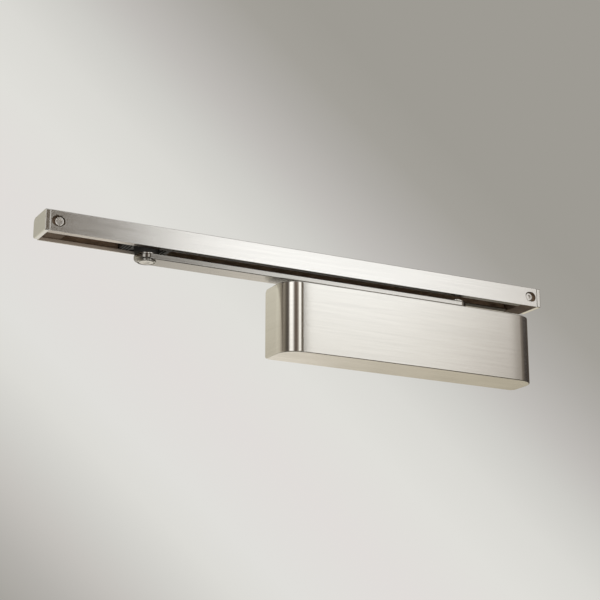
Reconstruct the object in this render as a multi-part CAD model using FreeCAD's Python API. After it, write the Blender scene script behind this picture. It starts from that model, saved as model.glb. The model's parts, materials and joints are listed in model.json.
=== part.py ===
"""Slide arm door closer: a rack and pinion closer body, its arm, a slide block and a track.

The origin is the centre of the mounting plate's rear face. X runs along the closer, +Y points
into the door, and +Z is up. The door is shut: the arm lies along the track. Lengths are in
millimetres and angles in degrees.
"""

import FreeCAD
import Part
import math
import os

Vector = FreeCAD.Vector

# Clearances
RUNNING_FIT = 0.05
SLIDING_GAP = 0.3
ASSEMBLY_GAP = 0.1

# Cover
COVER_LENGTH = 285.0
COVER_DEPTH = 43.0
COVER_HEIGHT = 68.0
COVER_CORNER_RADIUS = 19.3
COVER_EDGE_RADIUS = 0.8
COVER_WALL = 1.5
COVER_DOOR_GAP = 0.5
SPINDLE_SLOT_MARGIN = 2.0

# Mounting plate
PLATE_THICKNESS = 3.0
PLATE_END_GAP = 2.0
PLATE_SIDE_GAP = 0.5
PLATE_CORNER_RADIUS = 3.0
FIXING_HOLE_RADIUS = 3.0
FIXING_INSET = 7.0
FIXING_SPACING = 40.0

# Housing and the bore along it
HOUSING_END_GAP = 16.0
HOUSING_TOP_GAP = 3.5
HOUSING_FRONT_GAP = 2.5
HOUSING_EDGE_RADIUS = 2.0
BORE_WALL = 4.0
HOUSING_SCREW_RADIUS = 2.5
HOUSING_SCREW_HEAD_RADIUS = 4.8
HOUSING_SCREW_HEAD_HEIGHT = 2.3
HOUSING_SCREW_SOCKET_RADIUS = 1.8
HOUSING_SCREW_GRIP = 10.0
HOUSING_SCREW_END_INSET = 37.0
HOUSING_SCREW_TOP_INSET = 7.0

# Pinion and rack
TOOTH_COUNT = 14
GEAR_MODULE = 1.25
PRESSURE_ANGLE = 25.0
ADDENDUM_SHARE = 0.8
DEDENDUM_SHARE = 1.05
FLANK_CLEARANCE = 0.15
WINDOW_MARGIN = 1.0
SWING = 150.0

# Spindle, its bearings and seal
SPINDLE_SIDE = 2.5
SPINDLE_RADIUS = 7.5
LOWER_JOURNAL_RADIUS = 6.5
BEARING_SEAT_WALL = 1.0
BEARING_RING_WALL = 4.5
SEAL_HEIGHT = 2.5
SEAL_RING_WALL = 3.0
BEARING_NUT_WALL = 5.0
BEARING_NUT_GRIP = 3.5
BEARING_NUT_FLANGE = 1.5
BEARING_NUT_RISE = 2.0
BOTTOM_CAP_STEP = 0.5
BOTTOM_CAP_GRIP = 7.0
CAP_SOCKET_RADIUS = 3.5
SPINDLE_SQUARE = 10.0
SPINDLE_TOP_GAP = 0.4

# Piston
PISTON_LEFT_HEAD = 18.0
PISTON_RIGHT_HEAD = 12.0
PISTON_END_ROOM = 4.343
PISTON_SEAL_INSET = 4.0
PISTON_SPIGOT_LENGTH = 4.0
SEAL_CORD_RADIUS = 1.0
SEAL_GROOVE_CLEARANCE = 0.2
CHECK_BALL_RADIUS = 2.5
CHECK_PLUG_LENGTH = 3.0

# End plugs
PLUG_LENGTH = 12.0
PLUG_FLANGE_MARGIN = 3.0
PLUG_FLANGE_THICKNESS = 3.0
PLUG_SOCKET_RADIUS = 5.0
PLUG_SOCKET_DEPTH = 5.0

# Springs, their seat and the screw that loads them
OUTER_SPRING_WIRE = 3.8
INNER_SPRING_WIRE = 2.2
SPRING_BORE_GAP = 0.8
SPRING_SPIGOT_GAP = 0.4
POWER_SCREW_RADIUS = 4.0
POWER_SCREW_COLLAR_RADIUS = 7.0
POWER_SCREW_COLLAR_LENGTH = 3.0
POWER_SCREW_SOCKET_RADIUS = 2.2
POWER_SCREW_SPARE = 6.0
SEAT_THICKNESS = 8.0
SEAT_REST_GAP = 3.0
SEAT_TRAVEL = 9.0

# Valve screws in the right end of the housing
VALVE_RADIUS = 3.0
VALVE_LENGTH = 20.0
VALVE_PROUD = 1.5
VALVE_TIP_RADIUS = 1.0
VALVE_SOCKET_RADIUS = 1.4
VALVE_SIDE_INSET = 9.0
VALVE_TOP_INSET = 7.5
PASSAGE_RADIUS = 1.2

# Clips that hold the cover
CLIP_THICKNESS = 0.8
CLIP_WIDTH = 14.0
CLIP_REACH = 18.0
CLIP_FOOT = 10.0
RIVET_RADIUS = 1.6
RIVET_HEAD_RADIUS = 2.8
RIVET_HEAD_HEIGHT = 0.9

# Arm
ARM_CENTRES = 335.0
ARM_THICKNESS = 5.0
ARM_SPINDLE_END_RADIUS = 9.5
ARM_PIVOT_END_RADIUS = 11.5
ARM_EDGE_RADIUS = 1.2
ARM_RISE = 4.8
ARM_SCREW_RADIUS = 3.0
ARM_SCREW_LENGTH = 14.0
ARM_SCREW_HEAD_RADIUS = 5.5
ARM_SCREW_HEAD_HEIGHT = 2.4
ARM_SCREW_HEAD_EDGE = 0.8
ARM_SCREW_SOCKET_RADIUS = 2.0
ARM_WASHER_RADIUS = 8.5
ARM_WASHER_THICKNESS = 1.2

# Pivot between the arm and the slide block
PIVOT_PIN_RADIUS = 5.0
PIVOT_HEAD_RADIUS = 8.7
PIVOT_HEAD_HEIGHT = 1.2
PIVOT_HEAD_EDGE = 0.6
PIVOT_DIMPLE_RADIUS = 3.4
PIVOT_DIMPLE_DEPTH = 0.6
PIVOT_WASHER_RADIUS = 10.0
PIVOT_WASHER_THICKNESS = 0.8
PIVOT_BUSH_WALL = 1.5
RETAINING_RING_RADIUS = 7.8
RETAINING_RING_THICKNESS = 1.0
RETAINING_GROOVE_DEPTH = 0.8
PIVOT_PIN_TIP = 1.0

# Slide block
BLOCK_LENGTH = 46.0
BLOCK_CORNER_RADIUS = 2.0
BLOCK_SHOULDER = 11.3
GLIDE_WIDTH = 4.0
GLIDE_INSET = 2.0
GLIDE_GROOVE = 1.5

# Track
TRACK_LENGTH = 532.0
TRACK_DEPTH = 32.6
TRACK_HEIGHT = 19.8
TRACK_WALL = 2.0
TRACK_LIP = 6.5
TRACK_RISE = 14.4
TRACK_LEFT_REACH = 102.5
TRACK_EDGE_RADIUS = 0.6

# Track end caps and screws
CAP_THICKNESS = 4.5
CAP_CORNER_RADIUS = 4.0
CAP_EDGE_RADIUS = 0.8
CAP_INSERT_LENGTH = 20.0
CAP_LEFT_FILL = 1.1
CAP_RIGHT_FILL = 18.0
TRACK_SCREW_INSET = 13.6
TRACK_SCREW_SHANK_RADIUS = 2.2
TRACK_SCREW_THREAD_RADIUS = 2.5
TRACK_SCREW_HOLE_GAP = 0.25
TRACK_SCREW_HEAD_RADIUS = 4.4
TRACK_SCREW_HEAD_HEIGHT = 2.2
TRACK_SCREW_HEAD_EDGE = 1.1
TRACK_SCREW_SEAT_DEPTH = 1.0
TRACK_SCREW_SOCKET_RADIUS = 2.0
TRACK_SCREW_PROJECTION = 10.0
TRACK_HEAD_HOLE_RADIUS = 5.8

# Cover and plate, worked out
COVER_END = COVER_LENGTH / 2
COVER_TOP = COVER_HEIGHT / 2
COVER_INSIDE_END = COVER_END - COVER_WALL
COVER_INSIDE_TOP = COVER_TOP - COVER_WALL
COVER_INSIDE_FRONT = COVER_WALL - COVER_DEPTH
PLATE_END = COVER_INSIDE_END - PLATE_END_GAP
PLATE_TOP = COVER_INSIDE_TOP - PLATE_SIDE_GAP
FIXING_X = PLATE_END - FIXING_INSET

# Housing and bore, worked out
HOUSING_END = COVER_INSIDE_END - HOUSING_END_GAP
HOUSING_TOP = COVER_INSIDE_TOP - HOUSING_TOP_GAP
HOUSING_REAR = -PLATE_THICKNESS
HOUSING_FRONT = COVER_INSIDE_FRONT + HOUSING_FRONT_GAP
HOUSING_SCREW_X = HOUSING_END - HOUSING_SCREW_END_INSET
HOUSING_SCREW_Z = HOUSING_TOP - HOUSING_SCREW_TOP_INSET
BORE_Y = (HOUSING_REAR + HOUSING_FRONT) / 2
BORE_RADIUS = (HOUSING_REAR - HOUSING_FRONT) / 2 - BORE_WALL
PISTON_RADIUS = BORE_RADIUS - RUNNING_FIT
PLUG_INSIDE = HOUSING_END - PLUG_LENGTH
PLUG_OUTSIDE = HOUSING_END + PLUG_FLANGE_THICKNESS

# Gear, worked out
PITCH_RADIUS = GEAR_MODULE * TOOTH_COUNT / 2
TIP_RADIUS = PITCH_RADIUS + ADDENDUM_SHARE * GEAR_MODULE
ROOT_RADIUS = PITCH_RADIUS - DEDENDUM_SHARE * GEAR_MODULE
BASE_RADIUS = PITCH_RADIUS * math.cos(math.radians(PRESSURE_ANGLE))
RACK_PITCH = math.pi * GEAR_MODULE
SPINDLE_Y = BORE_Y + SPINDLE_SIDE
RACK_PITCH_Y = SPINDLE_Y - PITCH_RADIUS
RACK_TIP_Y = RACK_PITCH_Y + ADDENDUM_SHARE * GEAR_MODULE
RACK_ROOT_Y = RACK_PITCH_Y - DEDENDUM_SHARE * GEAR_MODULE
PISTON_TRAVEL = PITCH_RADIUS * math.radians(SWING)

# Bearings above and below the pinion, worked out
BEARING_SEAT = BORE_RADIUS + BEARING_SEAT_WALL
PINION_TOP = BEARING_SEAT - SLIDING_GAP
BEARING_NUT_BOTTOM = HOUSING_TOP - BEARING_NUT_GRIP
UPPER_BEARING_TOP = BEARING_NUT_BOTTOM - SEAL_HEIGHT
LOWER_BEARING_BOTTOM = BOTTOM_CAP_GRIP - HOUSING_TOP
BOTTOM_CAP_RADIUS = LOWER_JOURNAL_RADIUS + BEARING_RING_WALL + BOTTOM_CAP_STEP

# Piston and springs along the bore, worked out
PISTON_RIGHT = PLUG_INSIDE - PISTON_END_ROOM
WINDOW_RIGHT = PISTON_RIGHT - PISTON_RIGHT_HEAD
SPINDLE_X = WINDOW_RIGHT - PISTON_TRAVEL - WINDOW_MARGIN - TIP_RADIUS
WINDOW_LEFT = SPINDLE_X - TIP_RADIUS - WINDOW_MARGIN
PISTON_LEFT = WINDOW_LEFT - PISTON_LEFT_HEAD
COLLAR_RIGHT = -PLUG_INSIDE + POWER_SCREW_COLLAR_LENGTH
SEAT_LEFT = COLLAR_RIGHT + SEAT_REST_GAP
SEAT_RIGHT = SEAT_LEFT + SEAT_THICKNESS
OUTER_SPRING_RADIUS = BORE_RADIUS - SPRING_BORE_GAP
INNER_SPRING_RADIUS = OUTER_SPRING_RADIUS - OUTER_SPRING_WIRE - SPRING_BORE_GAP
PISTON_SPIGOT_RADIUS = INNER_SPRING_RADIUS - INNER_SPRING_WIRE - SPRING_SPIGOT_GAP
POWER_SCREW_TIP = SEAT_RIGHT + SEAT_TRAVEL + POWER_SCREW_SPARE

# Heights above the cover, worked out
ARM_BOTTOM = COVER_TOP + ARM_RISE
ARM_TOP = ARM_BOTTOM + ARM_THICKNESS
TRACK_BOTTOM = COVER_TOP + TRACK_RISE
TRACK_TOP = TRACK_BOTTOM + TRACK_HEIGHT
CHANNEL_BOTTOM = TRACK_BOTTOM + TRACK_WALL
CHANNEL_TOP = TRACK_TOP - TRACK_WALL
BLOCK_BOTTOM = ARM_TOP + PIVOT_WASHER_THICKNESS + SLIDING_GAP
BLOCK_TOP = CHANNEL_BOTTOM + SLIDING_GAP + BLOCK_SHOULDER
RING_FLOOR = BLOCK_TOP - SLIDING_GAP - RETAINING_RING_THICKNESS - PIVOT_PIN_TIP

# Arm and track in plan, worked out
SLOT_Y = -TRACK_DEPTH / 2
ARM_ANGLE = math.degrees(math.asin((SLOT_Y - SPINDLE_Y) / ARM_CENTRES))
PIVOT_X = SPINDLE_X - ARM_CENTRES * math.cos(math.radians(ARM_ANGLE))
TRACK_LEFT = PIVOT_X - TRACK_LEFT_REACH
TRACK_RIGHT = TRACK_LEFT + TRACK_LENGTH
CHANNEL_HALF_WIDTH = TRACK_DEPTH / 2 - TRACK_WALL
SLOT_HALF_WIDTH = TRACK_DEPTH / 2 - TRACK_LIP
TRACK_SCREW_Z = (TRACK_BOTTOM + TRACK_TOP) / 2
TRACK_SCREW_HOLE_RADIUS = TRACK_SCREW_THREAD_RADIUS + TRACK_SCREW_HOLE_GAP


def box(x_span, y_span, z_span):
    """Block between a low and a high value on each axis."""
    corner = Vector(x_span[0], y_span[0], z_span[0])
    length = x_span[1] - x_span[0]
    width = y_span[1] - y_span[0]
    height = z_span[1] - z_span[0]
    return Part.makeBox(length, width, height, corner)


def rod(radius, start, end):
    """Round bar between two points."""
    line = end - start
    return Part.makeCylinder(radius, line.Length, start, line)


def ring(outer_radius, inner_radius, start, end):
    """Round tube between two points."""
    return rod(outer_radius, start, end).cut(rod(inner_radius, start, end))


def cone(start_radius, end_radius, start, end):
    """Tapered bar between two points."""
    line = end - start
    return Part.makeCone(start_radius, end_radius, line.Length, start, line)


def hexagon_bar(radius, start, end):
    """Six-sided bar between two points, its corners at the radius."""
    line = end - start
    turn = FreeCAD.Rotation(Vector(0, 0, 1), line)
    corners = []
    for index in range(6):
        angle = math.radians(60 * index)
        flat = Vector(radius * math.cos(angle), radius * math.sin(angle), 0)
        corners.append(start + turn.multVec(flat))
    outline = Part.makePolygon(corners + corners[:1])
    return Part.Face(outline).extrude(line)


def fuse_all(shapes):
    """One solid from shapes that meet."""
    joined = shapes[0].multiFuse(shapes[1:])
    return joined.removeSplitter()


def edges_where(shape, test):
    """Edges of a shape whose bounding box passes a test."""
    return [edge for edge in shape.Edges if test(edge.BoundBox)]


def is_upright(bounds):
    """True for an edge that runs along Z only."""
    return bounds.ZLength > ASSEMBLY_GAP and max(bounds.XLength, bounds.YLength) < ASSEMBLY_GAP


def is_crossways_at(bounds, x):
    """True for an edge that lies in the plane across X at a place."""
    return abs(bounds.XMin - x) < ASSEMBLY_GAP and abs(bounds.XMax - x) < ASSEMBLY_GAP


def is_level_at(bounds, height):
    """True for an edge that lies flat at a height."""
    return bounds.ZLength < ASSEMBLY_GAP and abs(bounds.ZMin - height) < ASSEMBLY_GAP


def on_spindle(height):
    """Point on the spindle's axis."""
    return Vector(SPINDLE_X, SPINDLE_Y, height)


def on_pivot(height):
    """Point on the pivot pin's axis."""
    return Vector(PIVOT_X, SLOT_Y, height)


def on_bore(x):
    """Point on the axis of the housing's bore."""
    return Vector(x, BORE_Y, 0)


def cover_block(inset, rear):
    """Cover's outline, drawn in by an inset, as a solid block."""
    top = COVER_TOP - inset
    front = inset - COVER_DEPTH
    block = box((inset - COVER_END, COVER_END - inset), (front, rear), (-top, top))
    corners = edges_where(block, lambda b: is_upright(b) and abs(b.YMin - front) < ASSEMBLY_GAP)
    return block.makeFillet(COVER_CORNER_RADIUS - inset, corners)


def make_cover():
    """Shell, closed all round but at the rear, with a slot for the spindle in its top."""
    rear = -COVER_DOOR_GAP
    outside = cover_block(0, rear)
    rims = []
    for height in (-COVER_TOP, COVER_TOP):
        rims += edges_where(outside, lambda b: is_level_at(b, height) and b.YMin < rear - ASSEMBLY_GAP)
    outside = outside.makeFillet(COVER_EDGE_RADIUS, rims)
    shell = outside.cut(cover_block(COVER_WALL, 0))
    slot_radius = SPINDLE_RADIUS + SPINDLE_SLOT_MARGIN
    slot_x = (SPINDLE_X - slot_radius, SPINDLE_X + slot_radius)
    slot = rod(slot_radius, on_spindle(0), on_spindle(COVER_HEIGHT))
    slot = slot.fuse(box(slot_x, (SPINDLE_Y, 0), (0, COVER_HEIGHT)))
    return shell.cut(slot)


def corner_places(x, z):
    """The four corners of a rectangle about the origin, as X and Z pairs."""
    return [(side_x * x, side_z * z) for side_x in (-1, 1) for side_z in (-1, 1)]


def housing_screw_places():
    """X and Z of the four screws that hold the housing to its plate."""
    return corner_places(HOUSING_SCREW_X, HOUSING_SCREW_Z)


def housing_screw(place, clearance):
    """Countersunk screw from the plate's rear face, grown by a clearance."""
    x, z = place
    rear = Vector(x, 0, z)
    head_end = Vector(x, -HOUSING_SCREW_HEAD_HEIGHT, z)
    tip = Vector(x, HOUSING_REAR - HOUSING_SCREW_GRIP - clearance, z)
    radius = HOUSING_SCREW_RADIUS + clearance
    head = cone(HOUSING_SCREW_HEAD_RADIUS + clearance, radius, rear, head_end)
    return head.fuse(rod(radius, head_end, tip))


def make_mounting_plate():
    """Flat plate against the door, with four fixing holes and four countersunk holes."""
    plate = box((-PLATE_END, PLATE_END), (HOUSING_REAR, 0), (-PLATE_TOP, PLATE_TOP))
    corners = [edge for edge in plate.Edges if edge.BoundBox.YLength > PLATE_THICKNESS / 2]
    plate = plate.makeFillet(PLATE_CORNER_RADIUS, corners)
    for x, z in corner_places(FIXING_X, FIXING_SPACING / 2):
        plate = plate.cut(rod(FIXING_HOLE_RADIUS, Vector(x, HOUSING_REAR, z), Vector(x, 0, z)))
    for place in housing_screw_places():
        plate = plate.cut(housing_screw(place, RUNNING_FIT))
    for side in (-1, 1):
        plate = plate.cut(clip_rivet(side, RUNNING_FIT))
    return plate


def make_housing_screws():
    """Four countersunk screws with a six-sided socket."""
    screws = []
    for place in housing_screw_places():
        x, z = place
        rear = Vector(x, 0, z)
        floor = Vector(x, -HOUSING_SCREW_HEAD_HEIGHT, z)
        socket = hexagon_bar(HOUSING_SCREW_SOCKET_RADIUS, rear, floor)
        screws.append(housing_screw(place, 0).cut(socket))
    return Part.makeCompound(screws)


def valve_places():
    """Y and Z of the closing, latching and backcheck valve screws."""
    front = HOUSING_FRONT + VALVE_SIDE_INSET
    rear = HOUSING_REAR - VALVE_SIDE_INSET
    height = HOUSING_TOP - VALVE_TOP_INSET
    return {
        "closing_valve": (front, height),
        "latching_valve": (front, -height),
        "backcheck_valve": (rear, -height),
    }


def valve_bore(place):
    """Bore for a valve screw with a cross passage into the cylinder."""
    y, z = place
    mouth = Vector(HOUSING_END, y, z)
    floor = Vector(HOUSING_END + VALVE_PROUD - VALVE_LENGTH - SLIDING_GAP, y, z)
    passage_x = floor.x + 2 * PASSAGE_RADIUS
    passage = rod(PASSAGE_RADIUS, Vector(passage_x, y, z), on_bore(passage_x))
    return rod(VALVE_RADIUS + RUNNING_FIT, floor, mouth).fuse(passage)


def spindle_pockets():
    """Everything cut from the housing about the spindle's axis."""
    bearing_radius = SPINDLE_RADIUS + BEARING_RING_WALL
    lower_radius = LOWER_JOURNAL_RADIUS + BEARING_RING_WALL
    pinion_radius = TIP_RADIUS + SLIDING_GAP
    nut_radius = SPINDLE_RADIUS + BEARING_NUT_WALL
    return [
        rod(pinion_radius, on_spindle(-BEARING_SEAT), on_spindle(BEARING_SEAT)),
        rod(bearing_radius, on_spindle(BEARING_SEAT), on_spindle(BEARING_NUT_BOTTOM)),
        rod(nut_radius, on_spindle(BEARING_NUT_BOTTOM), on_spindle(HOUSING_TOP)),
        rod(lower_radius, on_spindle(LOWER_BEARING_BOTTOM), on_spindle(-BEARING_SEAT)),
        rod(BOTTOM_CAP_RADIUS, on_spindle(-HOUSING_TOP), on_spindle(LOWER_BEARING_BOTTOM)),
    ]


def make_housing():
    """Cast block with the cylinder bore, the spindle's seats and the valve bores."""
    sides = (HOUSING_FRONT, HOUSING_REAR)
    block = box((-HOUSING_END, HOUSING_END), sides, (-HOUSING_TOP, HOUSING_TOP))
    front_edges = edges_where(block, lambda b: b.YMax < HOUSING_FRONT + ASSEMBLY_GAP)
    block = block.makeFillet(HOUSING_EDGE_RADIUS, front_edges)
    block = block.cut(rod(BORE_RADIUS, on_bore(-HOUSING_END), on_bore(HOUSING_END)))
    for pocket in spindle_pockets():
        block = block.cut(pocket)
    for place in valve_places().values():
        block = block.cut(valve_bore(place))
    for place in housing_screw_places():
        block = block.cut(housing_screw(place, RUNNING_FIT))
    return block


def end_plug(side):
    """Threaded plug with a flange, closing one end of the bore."""
    inside = on_bore(side * PLUG_INSIDE)
    face = on_bore(side * HOUSING_END)
    outside = on_bore(side * PLUG_OUTSIDE)
    groove_centre = (inside + face) * 0.5
    groove_half = Vector(SEAL_CORD_RADIUS + SEAL_GROOVE_CLEARANCE, 0, 0)
    plug = rod(BORE_RADIUS - RUNNING_FIT, inside, face)
    plug = plug.fuse(rod(BORE_RADIUS + PLUG_FLANGE_MARGIN, face, outside))
    floor_radius = BORE_RADIUS - 2 * SEAL_CORD_RADIUS - 2 * SEAL_GROOVE_CLEARANCE
    return plug.cut(ring(BORE_RADIUS, floor_radius, groove_centre - groove_half, groove_centre + groove_half))


def make_right_end_plug():
    """Plug with a six-sided socket."""
    outside = on_bore(PLUG_OUTSIDE)
    floor = on_bore(PLUG_OUTSIDE - PLUG_SOCKET_DEPTH)
    return end_plug(1).cut(hexagon_bar(PLUG_SOCKET_RADIUS, floor, outside))


def make_left_end_plug():
    """Plug with a hole for the power screw."""
    hole = rod(POWER_SCREW_RADIUS + RUNNING_FIT, on_bore(-PLUG_OUTSIDE), on_bore(-PLUG_INSIDE))
    return end_plug(-1).cut(hole)


def seal_ring(x):
    """Round-section ring in a groove of the bore."""
    centre_radius = BORE_RADIUS - SEAL_CORD_RADIUS - SEAL_GROOVE_CLEARANCE
    return Part.makeTorus(centre_radius, SEAL_CORD_RADIUS, on_bore(x), Vector(1, 0, 0))


def make_end_plug_seals():
    """One ring in the groove of each end plug."""
    centre = (PLUG_INSIDE + HOUSING_END) / 2
    return Part.makeCompound([seal_ring(-centre), seal_ring(centre)])


def involute_angle(radius):
    """Angle in radians that the involute has turned at a radius."""
    slope = math.acos(min(1, BASE_RADIUS / radius))
    return math.tan(slope) - slope


def pinion_point(radius, angle):
    """Point of the pinion's outline, the angle in radians."""
    return Vector(radius * math.cos(angle), radius * math.sin(angle), 0)


def tooth_half_angle(radius):
    """Half the angle that a pinion tooth covers at a radius, in radians."""
    at_pitch = math.pi / (2 * TOOTH_COUNT) - FLANK_CLEARANCE / (2 * PITCH_RADIUS)
    return at_pitch + involute_angle(PITCH_RADIUS) - involute_angle(radius)


def tooth_edges(centre):
    """Outline of one pinion tooth and the root that follows it."""
    flank_start = max(BASE_RADIUS, ROOT_RADIUS)
    flank_middle = (flank_start + TIP_RADIUS) / 2
    radii = (flank_start, flank_middle, TIP_RADIUS)
    rising = [pinion_point(r, centre - tooth_half_angle(r)) for r in radii]
    falling = [pinion_point(r, centre + tooth_half_angle(r)) for r in reversed(radii)]
    foot = tooth_half_angle(flank_start)
    step = 2 * math.pi / TOOTH_COUNT
    foot_in = pinion_point(ROOT_RADIUS, centre - foot)
    foot_out = pinion_point(ROOT_RADIUS, centre + foot)
    next_foot = pinion_point(ROOT_RADIUS, centre + step - foot)
    edges = [
        Part.Arc(*rising),
        Part.Arc(rising[-1], pinion_point(TIP_RADIUS, centre), falling[0]),
        Part.Arc(*falling),
        Part.Arc(foot_out, pinion_point(ROOT_RADIUS, centre + step / 2), next_foot),
    ]
    if ROOT_RADIUS < BASE_RADIUS:
        edges.insert(0, Part.LineSegment(foot_in, rising[0]))
        edges.insert(4, Part.LineSegment(falling[-1], foot_out))
    return [edge.toShape() for edge in edges]


def make_pinion():
    """Toothed part of the spindle, with a tooth space facing the rack."""
    step = 2 * math.pi / TOOTH_COUNT
    edges = []
    for index in range(TOOTH_COUNT):
        edges += tooth_edges(-math.pi / 2 + step * (index + 0.5))
    outline = Part.Wire(edges)
    teeth = Part.Face(outline).extrude(Vector(0, 0, 2 * PINION_TOP))
    teeth.translate(on_spindle(-PINION_TOP))
    return teeth


def square_bar(side, bottom, top):
    """Square bar on the spindle's axis, turned to the arm."""
    half = side / 2
    bar = box((-half, half), (-half, half), (bottom, top))
    bar.rotate(Vector(0, 0, 0), Vector(0, 0, 1), -ARM_ANGLE)
    bar.translate(on_spindle(0))
    return bar


def make_spindle():
    """Pinion with its two journals and a square end that carries the arm."""
    square_top = ARM_TOP - SPINDLE_TOP_GAP
    spindle = fuse_all([
        make_pinion(),
        rod(SPINDLE_RADIUS, on_spindle(PINION_TOP), on_spindle(ARM_BOTTOM)),
        rod(LOWER_JOURNAL_RADIUS, on_spindle(LOWER_BEARING_BOTTOM), on_spindle(-PINION_TOP)),
        square_bar(SPINDLE_SQUARE, ARM_BOTTOM, square_top),
    ])
    thread_radius = ARM_SCREW_RADIUS + RUNNING_FIT
    thread_floor = ARM_TOP - ARM_SCREW_LENGTH - SLIDING_GAP
    return spindle.cut(rod(thread_radius, on_spindle(thread_floor), on_spindle(square_top)))


def make_upper_bearing():
    """Ring that the spindle's upper journal turns in."""
    outer = SPINDLE_RADIUS + BEARING_RING_WALL - RUNNING_FIT
    top = on_spindle(UPPER_BEARING_TOP)
    return ring(outer, SPINDLE_RADIUS + RUNNING_FIT, on_spindle(BEARING_SEAT), top)


def make_lower_bearing():
    """Ring that the spindle's lower journal turns in."""
    outer = LOWER_JOURNAL_RADIUS + BEARING_RING_WALL - RUNNING_FIT
    bottom = on_spindle(LOWER_BEARING_BOTTOM)
    return ring(outer, LOWER_JOURNAL_RADIUS + RUNNING_FIT, bottom, on_spindle(-BEARING_SEAT))


def make_spindle_seal():
    """Shaft seal between the upper bearing and its nut."""
    bottom = on_spindle(UPPER_BEARING_TOP)
    top = on_spindle(BEARING_NUT_BOTTOM)
    outer = SPINDLE_RADIUS + BEARING_RING_WALL - ASSEMBLY_GAP
    return ring(outer, SPINDLE_RADIUS + RUNNING_FIT, bottom, top)


def make_bearing_nut():
    """Threaded nut over the upper bearing, standing a little above the housing."""
    bottom = on_spindle(BEARING_NUT_BOTTOM)
    top = on_spindle(HOUSING_TOP + BEARING_NUT_RISE)
    outer = SPINDLE_RADIUS + BEARING_NUT_WALL
    nut = rod(outer - RUNNING_FIT, bottom, on_spindle(HOUSING_TOP))
    nut = nut.fuse(rod(outer + BEARING_NUT_FLANGE, on_spindle(HOUSING_TOP), top))
    return nut.cut(rod(SPINDLE_RADIUS + SLIDING_GAP, bottom, top))


def make_bottom_cap():
    """Plug that closes the spindle's lower bearing."""
    top = LOWER_BEARING_BOTTOM - SLIDING_GAP
    cap = rod(BOTTOM_CAP_RADIUS - RUNNING_FIT, on_spindle(-HOUSING_TOP), on_spindle(top))
    socket_top = (top - HOUSING_TOP) / 2
    return cap.cut(hexagon_bar(CAP_SOCKET_RADIUS, on_spindle(-HOUSING_TOP), on_spindle(socket_top)))


def rack_tooth(centre_x):
    """One straight-sided rack tooth, pointing at the spindle."""
    slope = math.tan(math.radians(PRESSURE_ANGLE))
    at_pitch = RACK_PITCH / 4 - FLANK_CLEARANCE / 2
    tip_half = at_pitch - (RACK_TIP_Y - RACK_PITCH_Y) * slope
    root_half = at_pitch + (RACK_PITCH_Y - RACK_ROOT_Y) * slope
    corners = [
        Vector(centre_x - root_half, RACK_ROOT_Y, -BORE_RADIUS),
        Vector(centre_x - tip_half, RACK_TIP_Y, -BORE_RADIUS),
        Vector(centre_x + tip_half, RACK_TIP_Y, -BORE_RADIUS),
        Vector(centre_x + root_half, RACK_ROOT_Y, -BORE_RADIUS),
    ]
    outline = Part.makePolygon(corners + corners[:1])
    return Part.Face(outline).extrude(Vector(0, 0, 2 * BORE_RADIUS))


def rack_tooth_centres():
    """X of every rack tooth that fits in the piston's window."""
    first = math.ceil((WINDOW_LEFT + RACK_PITCH / 2 - SPINDLE_X) / RACK_PITCH)
    last = math.floor((WINDOW_RIGHT - RACK_PITCH / 2 - SPINDLE_X) / RACK_PITCH)
    return [SPINDLE_X + index * RACK_PITCH for index in range(first, last + 1)]


def check_valve_seat():
    """X of the ball's centre in the piston's right head."""
    return PISTON_RIGHT - CHECK_PLUG_LENGTH - CHECK_BALL_RADIUS - ASSEMBLY_GAP


def make_piston():
    """Piston with a rack in the side of its window and a spring spigot on its left."""
    body = rod(PISTON_RADIUS, on_bore(PISTON_LEFT), on_bore(PISTON_RIGHT))
    depth = (RACK_ROOT_Y, BORE_Y + BORE_RADIUS)
    window = box((WINDOW_LEFT, WINDOW_RIGHT), depth, (-BORE_RADIUS, BORE_RADIUS))
    teeth = [rack_tooth(x).common(body) for x in rack_tooth_centres()]
    spigot = rod(PISTON_SPIGOT_RADIUS, on_bore(PISTON_LEFT - PISTON_SPIGOT_LENGTH), on_bore(PISTON_LEFT))
    piston = fuse_all([body.cut(window), spigot] + teeth)
    chamber_left = check_valve_seat() - CHECK_BALL_RADIUS - ASSEMBLY_GAP
    chamber_radius = CHECK_BALL_RADIUS + ASSEMBLY_GAP
    piston = piston.cut(rod(chamber_radius, on_bore(chamber_left), on_bore(PISTON_RIGHT)))
    piston = piston.cut(rod(CHECK_BALL_RADIUS / 2, on_bore(WINDOW_RIGHT), on_bore(chamber_left)))
    return piston.cut(piston_seal_groove())


def piston_seal_x():
    """X of the seal in the piston's right head."""
    return PISTON_RIGHT - PISTON_SEAL_INSET


def piston_seal_groove():
    """Groove for the piston's seal."""
    half = Vector(SEAL_CORD_RADIUS + SEAL_GROOVE_CLEARANCE, 0, 0)
    floor_radius = BORE_RADIUS - 2 * SEAL_CORD_RADIUS - 2 * SEAL_GROOVE_CLEARANCE
    centre = on_bore(piston_seal_x())
    return ring(BORE_RADIUS, floor_radius, centre - half, centre + half)


def make_check_valve_plug():
    """Hollow plug that keeps the check valve's ball in the piston."""
    left = on_bore(PISTON_RIGHT - CHECK_PLUG_LENGTH)
    radius = CHECK_BALL_RADIUS + ASSEMBLY_GAP - RUNNING_FIT
    return ring(radius, CHECK_BALL_RADIUS / 2, left, on_bore(PISTON_RIGHT))


def make_outer_spring():
    """Outer return spring as a plain sleeve of its own diameter."""
    inner = OUTER_SPRING_RADIUS - OUTER_SPRING_WIRE
    return ring(OUTER_SPRING_RADIUS, inner, on_bore(SEAT_RIGHT), on_bore(PISTON_LEFT))


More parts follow.
